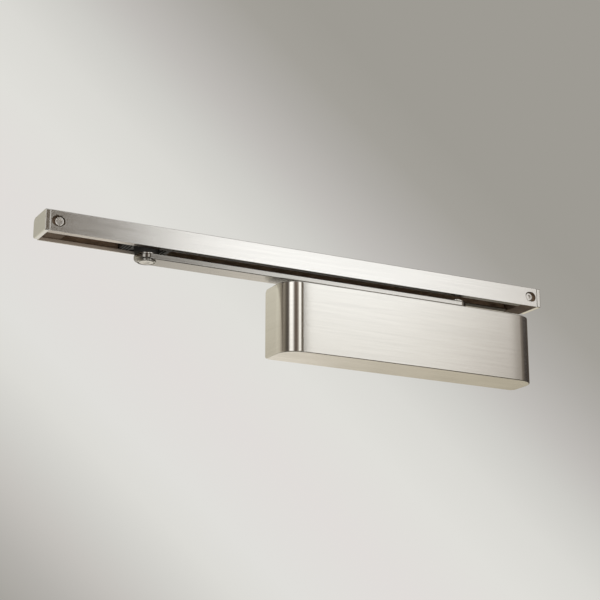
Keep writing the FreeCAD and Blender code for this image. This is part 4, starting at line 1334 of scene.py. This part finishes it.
@dataclass
class SlideBlock:
    """Nylon block that runs in the rail, with a boss round the pivot and ribs beside it."""

    joints: Joints
    corner_radius: float = 0.002
    rim_radius: float = 0.0006
    neck_height: float = 0.0058
    boss_reach: float = 0.012
    boss_half_width: float = 0.0095
    bush_radius: float = 0.0065
    ring_room_radius: float = 0.0083
    rib_height: float = 0.0011
    rib_width: float = 0.0012
    rib_pitch: float = 0.003
    rib_inset: float = 0.0022
    rib_overlap: float = 0.0004
    boss_overlap: float = 0.002
    ring_gap: float = 0.0004

    def build_block(self) -> None:
        """Make and dress the block and its boss."""
        box, pivot = Box.of("slide_block"), self.joints.pivot
        under, centre = box.low.z + self.neck_height, tuple(pivot[:2])
        rim, half = self.rim_radius, self.boss_half_width
        span = (under, box.high.z)
        body = pad("slide_block_body", box.low.xy, box.high.xy, self.corner_radius, Axis.Z, span, (rim, rim))
        low, high = (pivot.x - self.boss_reach, pivot.y - half), (pivot.x + self.boss_reach, pivot.y + half)
        span = (box.low.z, under + self.boss_overlap)
        boss = pad("boss", low, high, half - 0.0001, Axis.Z, span, (rim, 0), (16, 5))
        carve(body, [boss], "UNION")
        room = Box.of("retaining_ring").low.z - self.ring_gap
        holes = [
            rod("hole", self.bush_radius, Axis.Z, centre, 0, THROUGH),
            rod("hole", self.ring_room_radius, Axis.Z, centre, room, THROUGH),
        ]
        carve(body, holes)
        dress(body, Finish.NYLON, "slide_block", "slide_block")

    def build_ribs(self, repeat: RepeatTree) -> None:
        """Make and dress the ribs across the block's underside.

        Args:
            repeat: Tree that repeats a small piece.
        """
        box, pivot = Box.of("slide_block"), self.joints.pivot
        under, half, reach = box.low.z + self.neck_height, self.rib_width / 2, self.boss_half_width
        span, rims = (under - self.rib_height, under + self.rib_overlap), (half * 0.6, 0)
        rib = pad("slide_block_ribs", (-half, -reach), (half, reach), half * 0.9, Axis.Z, span, rims, (4, 3))
        inset = self.rib_inset
        values = {
            "Rows": 2,
            "Start": (box.low.x + inset, pivot.y, 0.0),
            "Row Step": (self.boss_reach + box.high.x - pivot.x - inset, 0.0, 0.0),
            "Columns": 3,
            "Column Step": (self.rib_pitch, 0.0, 0.0),
            "Axis": (0.0, 0.0, 1.0),
            "Largest Turn": 0.0,
            "Finish": Finish.NYLON.material,
        }
        repeat.grow(rib, values)
        dress(rib, Finish.NYLON, "slide_block", "slide_block")

    def build(self, repeat: RepeatTree) -> None:
        """Make every piece of the block."""
        self.build_block()
        self.build_ribs(repeat)


@dataclass
class TrackRail:
    """Channel with two lips below, and a polished cap, a moulded insert and a screw at each end."""

    wall: float = 0.002
    lip: float = 0.0065
    top_radius: float = 0.0009
    sharp_radius: float = 0.00025
    end_radius: float = 0.0009
    lip_rise: float = 0.0013
    lip_foot: float = 0.0018
    cap_thickness: float = 0.0041
    cap_front_radius: float = 0.0012
    cap_rear_top_radius: float = 0.005
    cap_rear_bottom_radius: float = 0.004
    cap_rim_radius: float = 0.0008
    screw_inset: float = 0.0136
    screw_hole_radius: float = 0.0049
    screw_hole_run: float = 0.0024
    seat_depth: float = 0.001
    insert_gap: float = 0.0001
    insert_relief: float = 0.0003
    insert_corner: float = 0.001
    insert_rim: float = 0.0008
    seam_rim: float = 0.0002
    shank_radius: float = 0.00275
    fill_length: float = 0.02

    def section(self, inset: float = 0.0) -> list[Point]:
        """Outline of the rail seen along it, as Y and Z.

        Args:
            inset: How far its front is drawn in.

        Returns:
            Corners in order.
        """
        box = Box.of("track_rail")
        front, rear, bottom, top = box.low.y + inset, box.high.y, box.low.z, box.high.z
        small, large = self.sharp_radius, self.top_radius
        outline = [(box.low.y + self.lip, bottom)]
        outline += arc((front + small, bottom + small), small, 270, 180, 3)
        outline += arc((front + large, top - large), large, 180, 90, 5)
        outline += arc((rear - large, top - large), large, 90, 0, 5)
        outline += arc((rear - small, bottom + small), small, 0, -90, 3)
        outline += [
            (rear - self.lip_foot, bottom),
            (rear - self.lip, bottom + self.lip_rise),
            (rear - self.lip, bottom + self.wall),
            (rear - self.wall, bottom + self.wall),
            (rear - self.wall, top - self.wall),
            (box.low.y + self.wall, top - self.wall),
            (box.low.y + self.wall, bottom + self.wall),
            (box.low.y + self.lip, bottom + self.wall),
        ]
        return outline

    def seams(self) -> Point:
        """Seams between rail and caps.

        Returns:
            X of the left and of the right seam.
        """
        return (
            Box.of("track_left_cap").low.x + self.cap_thickness,
            Box.of("track_right_cap").high.x - self.cap_thickness,
        )

    def screw_places(self) -> list[Point]:
        """Places of the two screws.

        Returns:
            X and Z of each.
        """
        left, right = Box.of("track_left_cap"), Box.of("track_right_cap")
        height = left.centre.z
        return [(left.low.x + self.screw_inset, height), (right.high.x - self.screw_inset, height)]

    def hole(self, place: Point, side: int, front: float, rear: float, grow: float = 0.0) -> Piece:
        """Tool for a screw hole, which is longer towards the rail's end.

        Args:
            place: X and Z of the screw.
            side: -1 for the left end, 1 for the right.
            front: Y where the tool starts.
            rear: Y where it ends.
            grow: Extra size at its front, for a countersunk rim.

        Returns:
            The tool.
        """
        radius, run = self.screw_hole_radius, side * self.screw_hole_run
        low = (min(place[0], place[0] + run) - radius, place[1] - radius)
        high = (max(place[0], place[0] + run) + radius, place[1] + radius)
        rim, wall = (rounded_rectangle(low, high, (radius - 0.00001,) * 4, -extra, 14) for extra in (grow, 0))
        layers = [(rim, front), (wall, rear)]
        if grow:
            layers.insert(1, (wall, front + 2 * grow))
        return layered("hole", layers, Axis.Y)

    def build_rail(self) -> None:
        """Make and dress the rail."""
        box = Box.of("track_rail")
        left, right = self.seams()
        rail = rounded("track_channel", self.section, Axis.X, left, right, self.end_radius, self.end_radius)
        tools = []
        for place, side in zip(self.screw_places(), (-1, 1)):
            tools.append(self.hole(place, side, box.low.y - 0.0004, box.low.y + 0.01, 0.0004))
            tools.append(rod("hole", self.shank_radius, Axis.Y, place, -0.01, 0.01))
        low = (right - self.fill_length, box.low.y + 0.0007, box.low.z - 0.01)
        high = (right + 0.01, box.high.y - 0.0007, box.low.z + self.wall + 0.00005)
        carve(rail, [*tools, block("notch", low, high)])
        dress(rail, Finish.TRACK, "track", "track_rail")

    def build_end(self, node: str, side: int, seam: float) -> None:
        """Make and dress one end cap and the moulded insert that holds it.

        Args:
            node: CAD node of both.
            side: -1 for the left end, 1 for the right.
            seam: X of the seam between rail and cap.
        """
        box, rail = Box.of(node), Box.of("track_rail")
        end, inner = (box.low.x, box.high.x)[::-side]
        front = self.cap_front_radius
        radii = (front, self.cap_rear_bottom_radius, self.cap_rear_top_radius, front)
        span, rims = (min(end, seam), max(end, seam)), (self.cap_rim_radius, self.seam_rim)[::-side]
        cap = pad(node + "_polished", rail.low.yz, rail.high.yz, radii, Axis.X, span, rims, (10, 5))
        dress(cap, Finish.CAP, "track", node)

        inner += side * self.insert_relief
        low = (rail.low.y + self.wall + self.insert_gap, rail.low.z + self.wall + self.insert_gap)
        high = (rail.high.y - self.wall - self.insert_gap, rail.high.z - self.wall - self.insert_gap)
        span, rims = (min(seam, inner), max(seam, inner)), (0, self.insert_rim)[::-side]
        insert = pad(node + "_insert", low, high, self.insert_corner, Axis.X, span, rims, (4, 3))
        if side > 0:
            bottom = (seam - self.fill_length + 0.0002, rail.low.y + 0.0008, rail.low.z + 0.0002)
            fill = block("fill", bottom, (seam, rail.high.y - 0.0008, low[1] + 0.002))
            carve(insert, [soften(fill, 0.0004, 2)], "UNION")
        place = self.screw_places()[side > 0]
        seat = self.hole(place, side, rail.low.y, low[0] + self.seat_depth - self.insert_gap)
        shank = rod("hole", self.shank_radius, Axis.Y, place, rail.low.y, 0.01)
        carve(insert, [seat, shank])
        dress(insert, Finish.CAP_INSERT, "track", node)

    def build(self) -> None:
        """Make every piece of the track but its screws."""
        self.build_rail()
        for node, side, seam in zip(("track_left_cap", "track_right_cap"), (-1, 1), self.seams()):
            self.build_end(node, side, seam)


@dataclass
class MountingPlate:
    """Steel plate behind the housing, with fixing holes, screw seats and rivet holes."""

    corner_radius: float = 0.003
    rim_radius: float = 0.0005
    fixing_place: Point = (0.132, 0.02)
    fixing_radius: float = 0.003
    screw_place: Point = (0.088, 0.022)
    screw_head_radius: float = 0.0048
    screw_head_depth: float = 0.0023
    screw_radius: float = 0.0025
    rivet_place: float = 0.1357
    rivet_radius: float = 0.0016

    def build(self) -> None:
        """Make and dress the plate."""
        box = Box.of("mounting_plate")
        span, rims = (box.low.y, box.high.y), (self.rim_radius,) * 2
        name, radius = "mounting_plate_bevelled", self.corner_radius
        plate = pad(name, box.low.xz, box.high.xz, radius, Axis.Y, span, rims, (8, 3))
        chamfer, beyond = 0.0004, 0.001
        front, rear, past = box.low.y - beyond, box.high.y, box.high.y + beyond
        hole, wide = self.fixing_radius, self.fixing_radius + chamfer + beyond
        neck, head = self.screw_radius + 0.0001, self.screw_head_radius + 0.0001
        fixing = [(0, front), (wide, front), (hole, box.low.y + chamfer)]
        fixing += [(hole, rear - chamfer), (wide, past), (0, past)]
        seat = [(0, front), (neck, front), (neck, rear - self.screw_head_depth)]
        seat += [(head, rear), (head, past), (0, past)]
        tools = []
        for side in (-1, 1):
            rivet = (side * self.rivet_place, 0.0)
            tools.append(rod("hole", self.rivet_radius, Axis.Y, rivet, front, past, 24))
            for height in (-1, 1):
                for profile, place in ((fixing, self.fixing_place), (seat, self.screw_place)):
                    tools.append(turned("hole", profile, Axis.Y, (side * place[0], height * place[1]), 40))
        carve(plate, tools)
        dress(plate, Finish.PLATE, "closer", "mounting_plate")


@dataclass
class Fasteners:
    """Screws and rivets, each modelled once at the origin and repeated."""

    track: TrackRail
    plate: MountingPlate
    track_head_radius: float = 0.0044
    track_head_edge: float = 0.0011
    track_waist_radius: float = 0.0021
    track_thread_radius: float = 0.0025
    thread_pitch: float = 0.0008
    thread_depth: float = 0.0003
    hex_flat: float = 0.002
    rivet_head_height: float = 0.0009
    hex_depth: float = 0.0013

    def thread(self, radius: float, low: float, high: float) -> list[Point]:
        """Profile of a thread between two places.

        Args:
            radius: Outer radius.
            low: Where it starts.
            high: Where it ends.

        Returns:
            Radius and place of each corner.
        """
        ridges = round((high - low) / self.thread_pitch)
        pitch = (high - low) / ridges
        profile = []
        for ridge in range(ridges):
            start = low + ridge * pitch
            profile += [(radius - self.thread_depth, start), (radius, start + pitch * 0.45)]
        return profile + [(radius - self.thread_depth, high)]

    def repeat_screw(
        self,
        tree: RepeatTree,
        screw: Piece,
        start: Vector,
        step: Vector,
        columns: Vector | None = None,
    ) -> Piece:
        """Repeat a screw in two rows and up to two columns, each turned by chance.

        Args:
            tree: Tree that repeats a small piece.
            screw: The screw, about the origin.
            start: Place of the first one.
            step: Step to the next row.
            columns: Step to the next column, or None for one column.

        Returns:
            All the screws as one piece.
        """
        return tree.grow(
            screw,
            {
                "Rows": 2,
                "Start": tuple(start),
                "Row Step": tuple(step),
                "Columns": 2 if columns else 1,
                "Column Step": tuple(columns or (0.0, 0.0, 0.0)),
                "Axis": (0.0, 1.0, 0.0),
                "Largest Turn": 2 * math.pi,
                "Finish": Finish.SCREW.material,
            },
        )

    def socket(self, front: float, rear: float, flat: float) -> Piece:
        """Tool for a hexagon socket."""
        profile = [(0, front), (flat, front), (flat, rear), (0, rear)]
        return turned("socket", profile, Axis.Y, (0, 0), 6)

    def build_track_screws(self, tree: RepeatTree) -> None:
        """Make and dress the two screws of the track.

        Args:
            tree: Tree that repeats a small piece.
        """
        box = Box.of("track_screws")
        head, seat = box.low.y, box.low.y + 0.0022
        rim = self.track_head_radius
        edge = self.track_head_edge
        profile = [(0, head), *arc((rim - edge, head + edge), edge, -90, 0, 6)]
        profile += [(rim, seat - 0.0002), (rim - 0.0002, seat), (self.track_waist_radius, seat)]
        profile += [(self.track_waist_radius, 0.0)]
        profile += self.thread(self.track_thread_radius, 0.0, box.high.y - 0.0006)
        profile += [(self.track_thread_radius - 0.0008, box.high.y), (0, box.high.y)]
        screw = turned("track_screws_turned", profile, Axis.Y, (0, 0), 48)
        carve(screw, [self.socket(head - 0.001, head + self.hex_depth, self.hex_flat)])
        (left, height), (right, _) = self.track.screw_places()
        self.repeat_screw(tree, screw, Vector((left, 0, height)), Vector((right - left, 0, 0)))
        dress(screw, Finish.TRACK_SCREW, "track", "track_screws")

    def build_housing_screws(self, tree: RepeatTree) -> None:
        """Make and dress the four countersunk screws behind the housing.

        Args:
            tree: Tree that repeats a small piece.
        """
        box = Box.of("housing_screws")
        plate = self.plate
        neck = box.high.y - plate.screw_head_depth
        profile = [(0, box.low.y), (plate.screw_radius - 0.0008, box.low.y)]
        profile += self.thread(plate.screw_radius, box.low.y + 0.0006, neck - 0.0004)
        profile += [(plate.screw_radius, neck), (plate.screw_head_radius, box.high.y - 0.0002)]
        profile += [(plate.screw_head_radius - 0.0002, box.high.y), (0, box.high.y)]
        screw = turned("housing_screws_turned", profile, Axis.Y, (0, 0), 48)
        carve(screw, [self.socket(box.high.y - 0.0015, box.high.y + 0.001, 0.0018)])
        across, up = plate.screw_place
        start = Vector((-across, 0, -up))
        self.repeat_screw(tree, screw, start, Vector((2 * across, 0, 0)), Vector((0, 0, 2 * up)))
        dress(screw, Finish.SCREW, "closer", "housing_screws")

    def build_rivets(self, tree: RepeatTree) -> None:
        """Make and dress the two rivets of the clips.

        Args:
            tree: Tree that repeats a small piece.
        """
        box = Box.of("clip_rivets")
        plate = self.plate
        shank, front, rear = plate.rivet_radius, box.low.y, box.high.y
        head, tall = box.high.x - plate.rivet_place, self.rivet_head_height
        profile = [(0, front), (head * 0.45, front + tall * 0.08), (head * 0.8, front + tall * 0.38)]
        profile += [(head, front + tall * 0.85), (head, front + tall), (shank, front + tall)]
        profile += [(shank, rear - 0.0001), (shank - 0.0002, rear), (0, rear)]
        rivet = turned("clip_rivets_turned", profile, Axis.Y, (0, 0), 32)
        start, step = Vector((-plate.rivet_place, 0, 0)), Vector((2 * plate.rivet_place, 0, 0))
        self.repeat_screw(tree, rivet, start, step)
        dress(rivet, Finish.SCREW, "closer", "clip_rivets")

    def build(self, tree: RepeatTree) -> None:
        """Make every screw and rivet.

        Args:
            tree: Tree that repeats a small piece.
        """
        self.build_track_screws(tree)
        self.build_housing_screws(tree)
        self.build_rivets(tree)


@dataclass
class ReturnSpring:
    """One of the two springs that close the door, pressed by the piston and by the spring seat."""

    node: str
    turns: float
    wire_radius: float
    samples: int

    def half(self, whole: Piece, ending: str, side: int) -> Piece:
        """Cut one half off the spring, across its middle, and close the cut.

        Args:
            whole: The whole spring.
            ending: Ending of the half's name.
            side: -1 for the half at the seat, 1 for the half at the piston.

        Returns:
            The half.
        """
        mesh = bmesh.new()
        mesh.from_mesh(whole.data)
        parts = [*mesh.verts, *mesh.edges, *mesh.faces]
        middle = (Box.of(self.node).centre.x, 0, 0)
        bmesh.ops.bisect_plane(mesh, geom=parts, plane_co=middle, plane_no=(side, 0, 0), clear_inner=True)
        rim = [edge for edge in mesh.edges if edge.is_boundary]
        bmesh.ops.triangle_fill(mesh, edges=rim, use_beauty=True)
        return new_object(self.node + ending, mesh)

    def build(self, tree: CoilTree, body: str, travels: dict[str, float]) -> None:
        """Make and dress the spring, as a half at the seat and a half at the piston.

        Args:
            tree: Tree that winds a spring.
            body: Body that it moves with.
            travels: How far each joint presses it; not used.
        """
        box = Box.of(self.node)
        length = box.high.x - box.low.x
        whole = new_object(self.node + "_wound", bmesh.new())
        tree.grow(
            whole,
            {
                "Turns": self.turns,
                "Closed Turns": 1.0,
                "Coil Radius": (box.high.z - box.low.z) / 2 - self.wire_radius,
                "Wire Radius": self.wire_radius,
                "Length": length,
                "Start": (box.low.x, box.centre.y, box.centre.z),
                "Samples": self.samples,
                "Finish": Finish.SPRING.material,
            },
        )
        halves = (("_seat_side", -1, "spring_seat_travel"), ("_piston_side", 1, "piston_travel"))
        for ending, side, joint in halves:
            half = dress(self.half(whole, ending, side), Finish.SPRING, body, self.node)
            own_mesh(half)
        bpy.data.objects.remove(whole)


@dataclass
class SmoothCopies:
    """Copies of CAD nodes whose shape is right, merged and shaded smooth."""

    finishes: dict[str, Finish]

    def build(self, nodes: dict[str, Piece]) -> None:
        """Make and dress the copies.

        Args:
            nodes: The frame's CAD objects by name.
        """
        for name, finish in self.finishes.items():
            node = nodes[name]
            mesh = bmesh.new()
            mesh.from_mesh(node.data)
            bmesh.ops.remove_doubles(mesh, verts=mesh.verts, dist=1e-7)
            data = bpy.data.meshes.new(name + "_smooth")
            mesh.to_mesh(data)
            mesh.free()
            copy = bpy.data.objects.new(name + "_smooth", data)
            bpy.context.scene.collection.objects.link(copy)
            dress(copy, finish, node["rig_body"], name)


@dataclass
class Studio:
    """Backdrop, floor, lamps and camera."""

    camera_place: Vector = Vector((-0.78762, -1.28328, -0.39154))
    camera_pitch: float = 16.14
    camera_yaw: float = 28.01
    lens: float = 94.14
    floor_level: float = -0.46
    floor_half: float = 6.0
    fill: float = 0.6
    fill_colour: Colour = (1.0, 0.995, 0.985)
    strongest: float = 1.7
    ceiling: Colour = (0.9, 0.885, 0.85)
    # Walls that metal mirrors, by bearing in degrees from +X towards +Y: first those before the object.
    front_walls: Stops = (
        (-180, (0.42, 0.37, 0.31)), (-170, (0.30, 0.27, 0.22)), (-162, (0.14, 0.12, 0.10)),
        (-152, (0.12, 0.105, 0.09)), (-146, (0.35, 0.32, 0.29)), (-141, (1.6, 1.58, 1.55)),
        (-128, (1.6, 1.59, 1.57)), (-121, (0.6, 0.57, 0.54)), (-116, (0.19, 0.15, 0.125)),
        (-104, (0.19, 0.15, 0.125)), (-97, (0.6, 0.56, 0.51)), (-92, (1.65, 1.63, 1.58)),
        (-86, (1.65, 1.63, 1.58)), (-81, (0.3, 0.27, 0.23)), (-77, (0.14, 0.11, 0.08)),
        (-71, (0.14, 0.11, 0.08)), (-69.3, (0.185, 0.16, 0.13)), (-68.2, (0.50, 0.48, 0.455)),
        (-66.8, (1.22, 1.21, 1.195)), (-64.5, (1.42, 1.42, 1.41)), (-61, (1.42, 1.43, 1.43)),
        (-57.5, (1.39, 1.39, 1.38)), (-55.8, (1.32, 1.305, 1.28)), (-54.4, (1.14, 1.11, 1.075)),
        (-53.3, (0.94, 0.905, 0.865)), (-51.8, (0.74, 0.705, 0.67)), (-50.3, (0.66, 0.625, 0.59)),
        (-48.6, (0.56, 0.525, 0.485)), (-47.4, (0.44, 0.40, 0.36)), (-40, (0.29, 0.255, 0.22)),
        (-20, (0.11, 0.095, 0.085)), (0, (0.065, 0.055, 0.05)),
    )
    # Walls behind it on its left, at any level.
    left_wall: Stops = (
        (117, (0.84, 0.80, 0.68)), (133, (0.88, 0.845, 0.72)), (148, (0.82, 0.78, 0.665)),
        (158, (0.75, 0.70, 0.58)), (167, (0.52, 0.47, 0.39)), (176, (0.42, 0.37, 0.31)),
        (180, (0.42, 0.37, 0.31)),
    )
    # Walls behind it, below its own level and above.
    rear_walls: Stops = (
        (0, (0.065, 0.055, 0.05)), (30, (0.06, 0.05, 0.045)), (50, (0.5, 0.46, 0.36)),
        (55, (0.74, 0.68, 0.55)), (58.5, (0.80, 0.745, 0.63)), (63, (1.13, 1.07, 0.97)),
        (67, (1.1, 1.05, 0.95)), (71, (0.75, 0.72, 0.66)), (100, (0.72, 0.70, 0.58)),
        (108, (0.52, 0.495, 0.42)), *left_wall,
    )
    upper_rear_walls: Stops = (
        (0, (0.065, 0.055, 0.05)), (50, (0.13, 0.11, 0.085)), (94, (0.16, 0.13, 0.10)),
        (102, (0.5, 0.48, 0.41)), (108, (0.52, 0.495, 0.42)), *left_wall,
    )
    # Brightness of all walls by the sine of the elevation.
    levels: tuple[Point, ...] = (
        (-1.0, 0.07), (-0.87, 0.07), (-0.78, 0.6), (-0.6, 1.1), (-0.15, 1.25),
        (0.05, 1.0), (0.27, 1.0), (0.5, 1.2), (0.8, 0.6), (1.0, 0.6),
    )
    # Backdrop along its diagonal, from its lower left to its upper right.
    backdrop_tones: Stops = (
        (-0.37, (0.381, 0.366, 0.337)), (-0.335, (0.456, 0.440, 0.413)), (-0.3, (0.552, 0.533, 0.503)),
        (-0.26, (0.638, 0.630, 0.597)), (-0.225, (0.716, 0.708, 0.672)), (-0.19, (0.745, 0.737, 0.708)),
        (-0.12, (0.750, 0.723, 0.701)), (-0.05, (0.745, 0.737, 0.701)), (0.0, (0.701, 0.694, 0.658)),
        (0.04, (0.617, 0.610, 0.578)), (0.077, (0.521, 0.503, 0.479)), (0.115, (0.429, 0.413, 0.387)),
        (0.15, (0.366, 0.351, 0.319)), (0.19, (0.342, 0.328, 0.296)),
    )

    @property
    def brightest(self) -> float:
        """Highest brightness of the walls."""
        return max(level for _, level in self.levels)

    def camera(self) -> None:
        """Make the camera at the photograph's angle."""
        data = bpy.data.cameras.new("camera")
        data.lens = self.lens
        data.sensor_width = 36
        data.clip_start = 0.05
        data.clip_end = 60
        camera = bpy.data.objects.new("camera", data)
        camera.location = self.camera_place
        camera.rotation_euler = (math.radians(90 + self.camera_pitch), 0, math.radians(-self.camera_yaw))
        bpy.context.scene.collection.objects.link(camera)
        bpy.context.scene.camera = camera

    def diagonal(self) -> Vector:
        """Direction in which the backdrop darkens.

        Returns:
            The direction, right and up of the photograph's view.
        """
        yaw, pitch = math.radians(self.camera_yaw), math.radians(self.camera_pitch)
        right = Vector((math.cos(yaw), -math.sin(yaw), 0))
        up = Vector((-math.sin(yaw) * math.sin(pitch), -math.cos(yaw) * math.sin(pitch), math.cos(pitch)))
        return right + up

    def world(self) -> None:
        """Make the backdrop that the camera sees, the studio that metal sees and the soft fill."""
        world = bpy.data.worlds.new("studio")
        bpy.context.scene.world = world
        world.use_nodes = True
        world.node_tree.nodes.clear()
        SkyTree(world.node_tree, self).build()

    def floor(self) -> None:
        """Make the pale floor, which is clear when seen from below."""
        half = self.floor_half
        mesh = bmesh.new()
        corners = [(-half, -half), (half, -half), (half, half), (-half, half)]
        mesh.faces.new([mesh.verts.new((x, y, self.floor_level)) for x, y in corners])
        floor = new_object("floor", mesh)
        if floor.data.polygons[0].normal.z < 0:
            floor.data.flip_normals()
        tree = ShaderTree("pale_floor")
        tree.set(Base_Color=(0.66, 0.65, 0.62, 1), Roughness=0.9, Specular_IOR_Level=0.1)
        below = tree.add("ShaderNodeNewGeometry").outputs["Backfacing"]
        clear = tree.add("ShaderNodeBsdfTransparent").outputs["BSDF"]
        mixed = tree.choose(below, tree.surface.outputs["BSDF"], clear)
        tree.join(mixed, tree.nodes["Material Output"].inputs["Surface"])
        floor.data.materials.append(tree.material)
        floor.visible_glossy = False

    def lamp(self, name: str, place: Sequence[float], size: float, power: float) -> None:
        """Make a soft square lamp that faces the object.

        Args:
            name: Name of the lamp.
            place: Where it hangs.
            size: Length of its side.
            power: Its power in watts.
        """
        data = bpy.data.lights.new(name, "AREA")
        data.size = size
        data.energy = power
        lamp = bpy.data.objects.new(name, data)
        lamp.location = place
        lamp.rotation_euler = (-Vector(place)).to_track_quat("-Z", "Y").to_euler()
        lamp.visible_camera = False
        lamp.visible_glossy = False
        bpy.context.scene.collection.objects.link(lamp)

    def build(self) -> None:
        """Make the whole studio."""
        self.camera()
        self.world()
        self.floor()
        self.lamp("key lamp", (-0.6, -1.6, 1.4), 1.2, 22)
        self.lamp("side lamp", (1.6, -0.9, 0.7), 1.0, 8)
        bpy.context.scene.view_settings.view_transform = "Standard"


class SkyTree(NodeBuilder):
    """Node tree of the world round the object."""

    def __init__(self, tree: bpy.types.NodeTree, studio: Studio) -> None:
        """Work on the world's tree.

        Args:
            tree: The node tree, empty.
            studio: The studio that it shows.
        """
        super().__init__(tree)
        self.studio = studio
        self.direction = self.add("ShaderNodeTexCoord").outputs["Generated"]
        self.parts = self.split(self.direction)

    def gradient(self, value: Socket, tones: Stops, share: float = 1.0, unit: float = 1.0) -> Socket:
        """Colours along a value.

        Args:
            value: Socket of the value.
            tones: Place and colour of each stop, in order.
            share: Factor on the colours.
            unit: Value of one unit of the places.

        Returns:
            Socket of the colour.
        """
        low, high = tones[0][0], tones[-1][0]
        stops = [((place - low) / (high - low), tinted(colour, share)) for place, colour in tones]
        return self.ramp(self.spread(value, 0, 1, low * unit, high * unit), stops)

    def room(self) -> Socket:
        """Studio as polished metal sees it.

        Returns:
            Socket of its colour, divided by the studio's strongest tone.
        """
        studio, up = self.studio, self.parts["Z"]
        share = 1 / studio.strongest
        bearing = self.math("ARCTAN2", self.parts["Y"], self.parts["X"])
        front, rear, upper = (
            self.gradient(bearing, walls, share, math.radians(1))
            for walls in (studio.front_walls, studio.rear_walls, studio.upper_rear_walls)
        )
        rear = self.blend(self.spread(up, 0, 1, -0.04, 0.06), rear, upper)
        rear = self.blend(self.spread(up, 0, 1, 0.4, 0.55), rear, tinted(studio.ceiling, share))
        walls = self.blend(self.spread(self.parts["Y"], 0, 1, -0.001, 0.001), front, rear)
        levels = [(place, (level / studio.brightest,) * 3) for place, level in studio.levels]
        return self.tint(walls, self.gradient(up, levels))

    def light(self, colour: "Socket | Colour", strength: float) -> Socket:
        """Light of one colour from all round."""
        return self.chain("ShaderNodeBackground", {"Color": colour, "Strength": strength})

    def build(self) -> None:
        """Show the backdrop to the camera, the room to mirrors and the fill to the rest."""
        studio = self.studio
        backdrop = self.gradient(self.facing(self.direction, studio.diagonal()), studio.backdrop_tones)
        ray = self.add("ShaderNodeLightPath")
        mirrored = self.math("MAXIMUM", ray.outputs["Is Glossy Ray"], ray.outputs["Is Transmission Ray"])
        soft = self.light(studio.fill_colour, studio.fill)
        shiny = self.light(self.room(), studio.strongest * studio.brightest)
        chosen = self.choose(mirrored, soft, shiny)
        chosen = self.choose(ray.outputs["Is Camera Ray"], chosen, self.light(backdrop, 1.0))
        self.join(chosen, self.add("ShaderNodeOutputWorld").inputs["Surface"])


def plain_nodes() -> dict[str, Finish]:
    """Finish of each CAD node that shows as a smooth copy.

    Returns:
        Finishes by the node's name.
    """
    return {
        "housing": Finish.CASTING, "left_end_plug": Finish.STEEL, "right_end_plug": Finish.STEEL,
        "end_plug_seals": Finish.RUBBER, "cover_clips": Finish.SPRING, "spindle": Finish.STEEL,
        "upper_bearing": Finish.BEARING, "lower_bearing": Finish.BEARING, "spindle_seal": Finish.RUBBER,
        "bearing_nut": Finish.STEEL, "bottom_cap": Finish.STEEL, "piston": Finish.STEEL,
        "piston_seal": Finish.RUBBER, "check_valve_ball": Finish.BEARING, "check_valve_plug": Finish.STEEL,
        "spring_seat": Finish.STEEL, "power_screw": Finish.SCREW, "closing_valve": Finish.SCREW,
        "latching_valve": Finish.SCREW, "backcheck_valve": Finish.SCREW, "arm_washer": Finish.SCREW,
        "arm_screw": Finish.SCREW, "pivot_washer": Finish.SCREW, "retaining_ring": Finish.SPRING,
        "pivot_bush": Finish.BRONZE, "glide_strips": Finish.RUBBER,
    }


def main() -> None:
    """Build every piece in order."""
    logging.basicConfig(level=logging.INFO, format="%(name)s: %(message)s")
    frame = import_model()
    joints = Joints.of(frame["joints"])
    Studio().build()
    repeat, coil = RepeatTree(), CoilTree()
    track, plate = TrackRail(), MountingPlate()
    CoverShell(joints).build()
    SwingArm(joints).build()
    SlideBlock(joints).build(repeat)
    track.build()
    plate.build()
    Fasteners(track, plate).build(repeat)
    outer = ReturnSpring("outer_spring", 20, 0.0019, 760)
    inner = ReturnSpring("inner_spring", 34, 0.0011, 1080)
    for spring in (outer, inner):
        spring.build(coil, frame["nodes"][spring.node]["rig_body"], joints.travels)
    SmoothCopies(plain_nodes()).build(frame["nodes"])


if __name__ == "__main__":
    main()
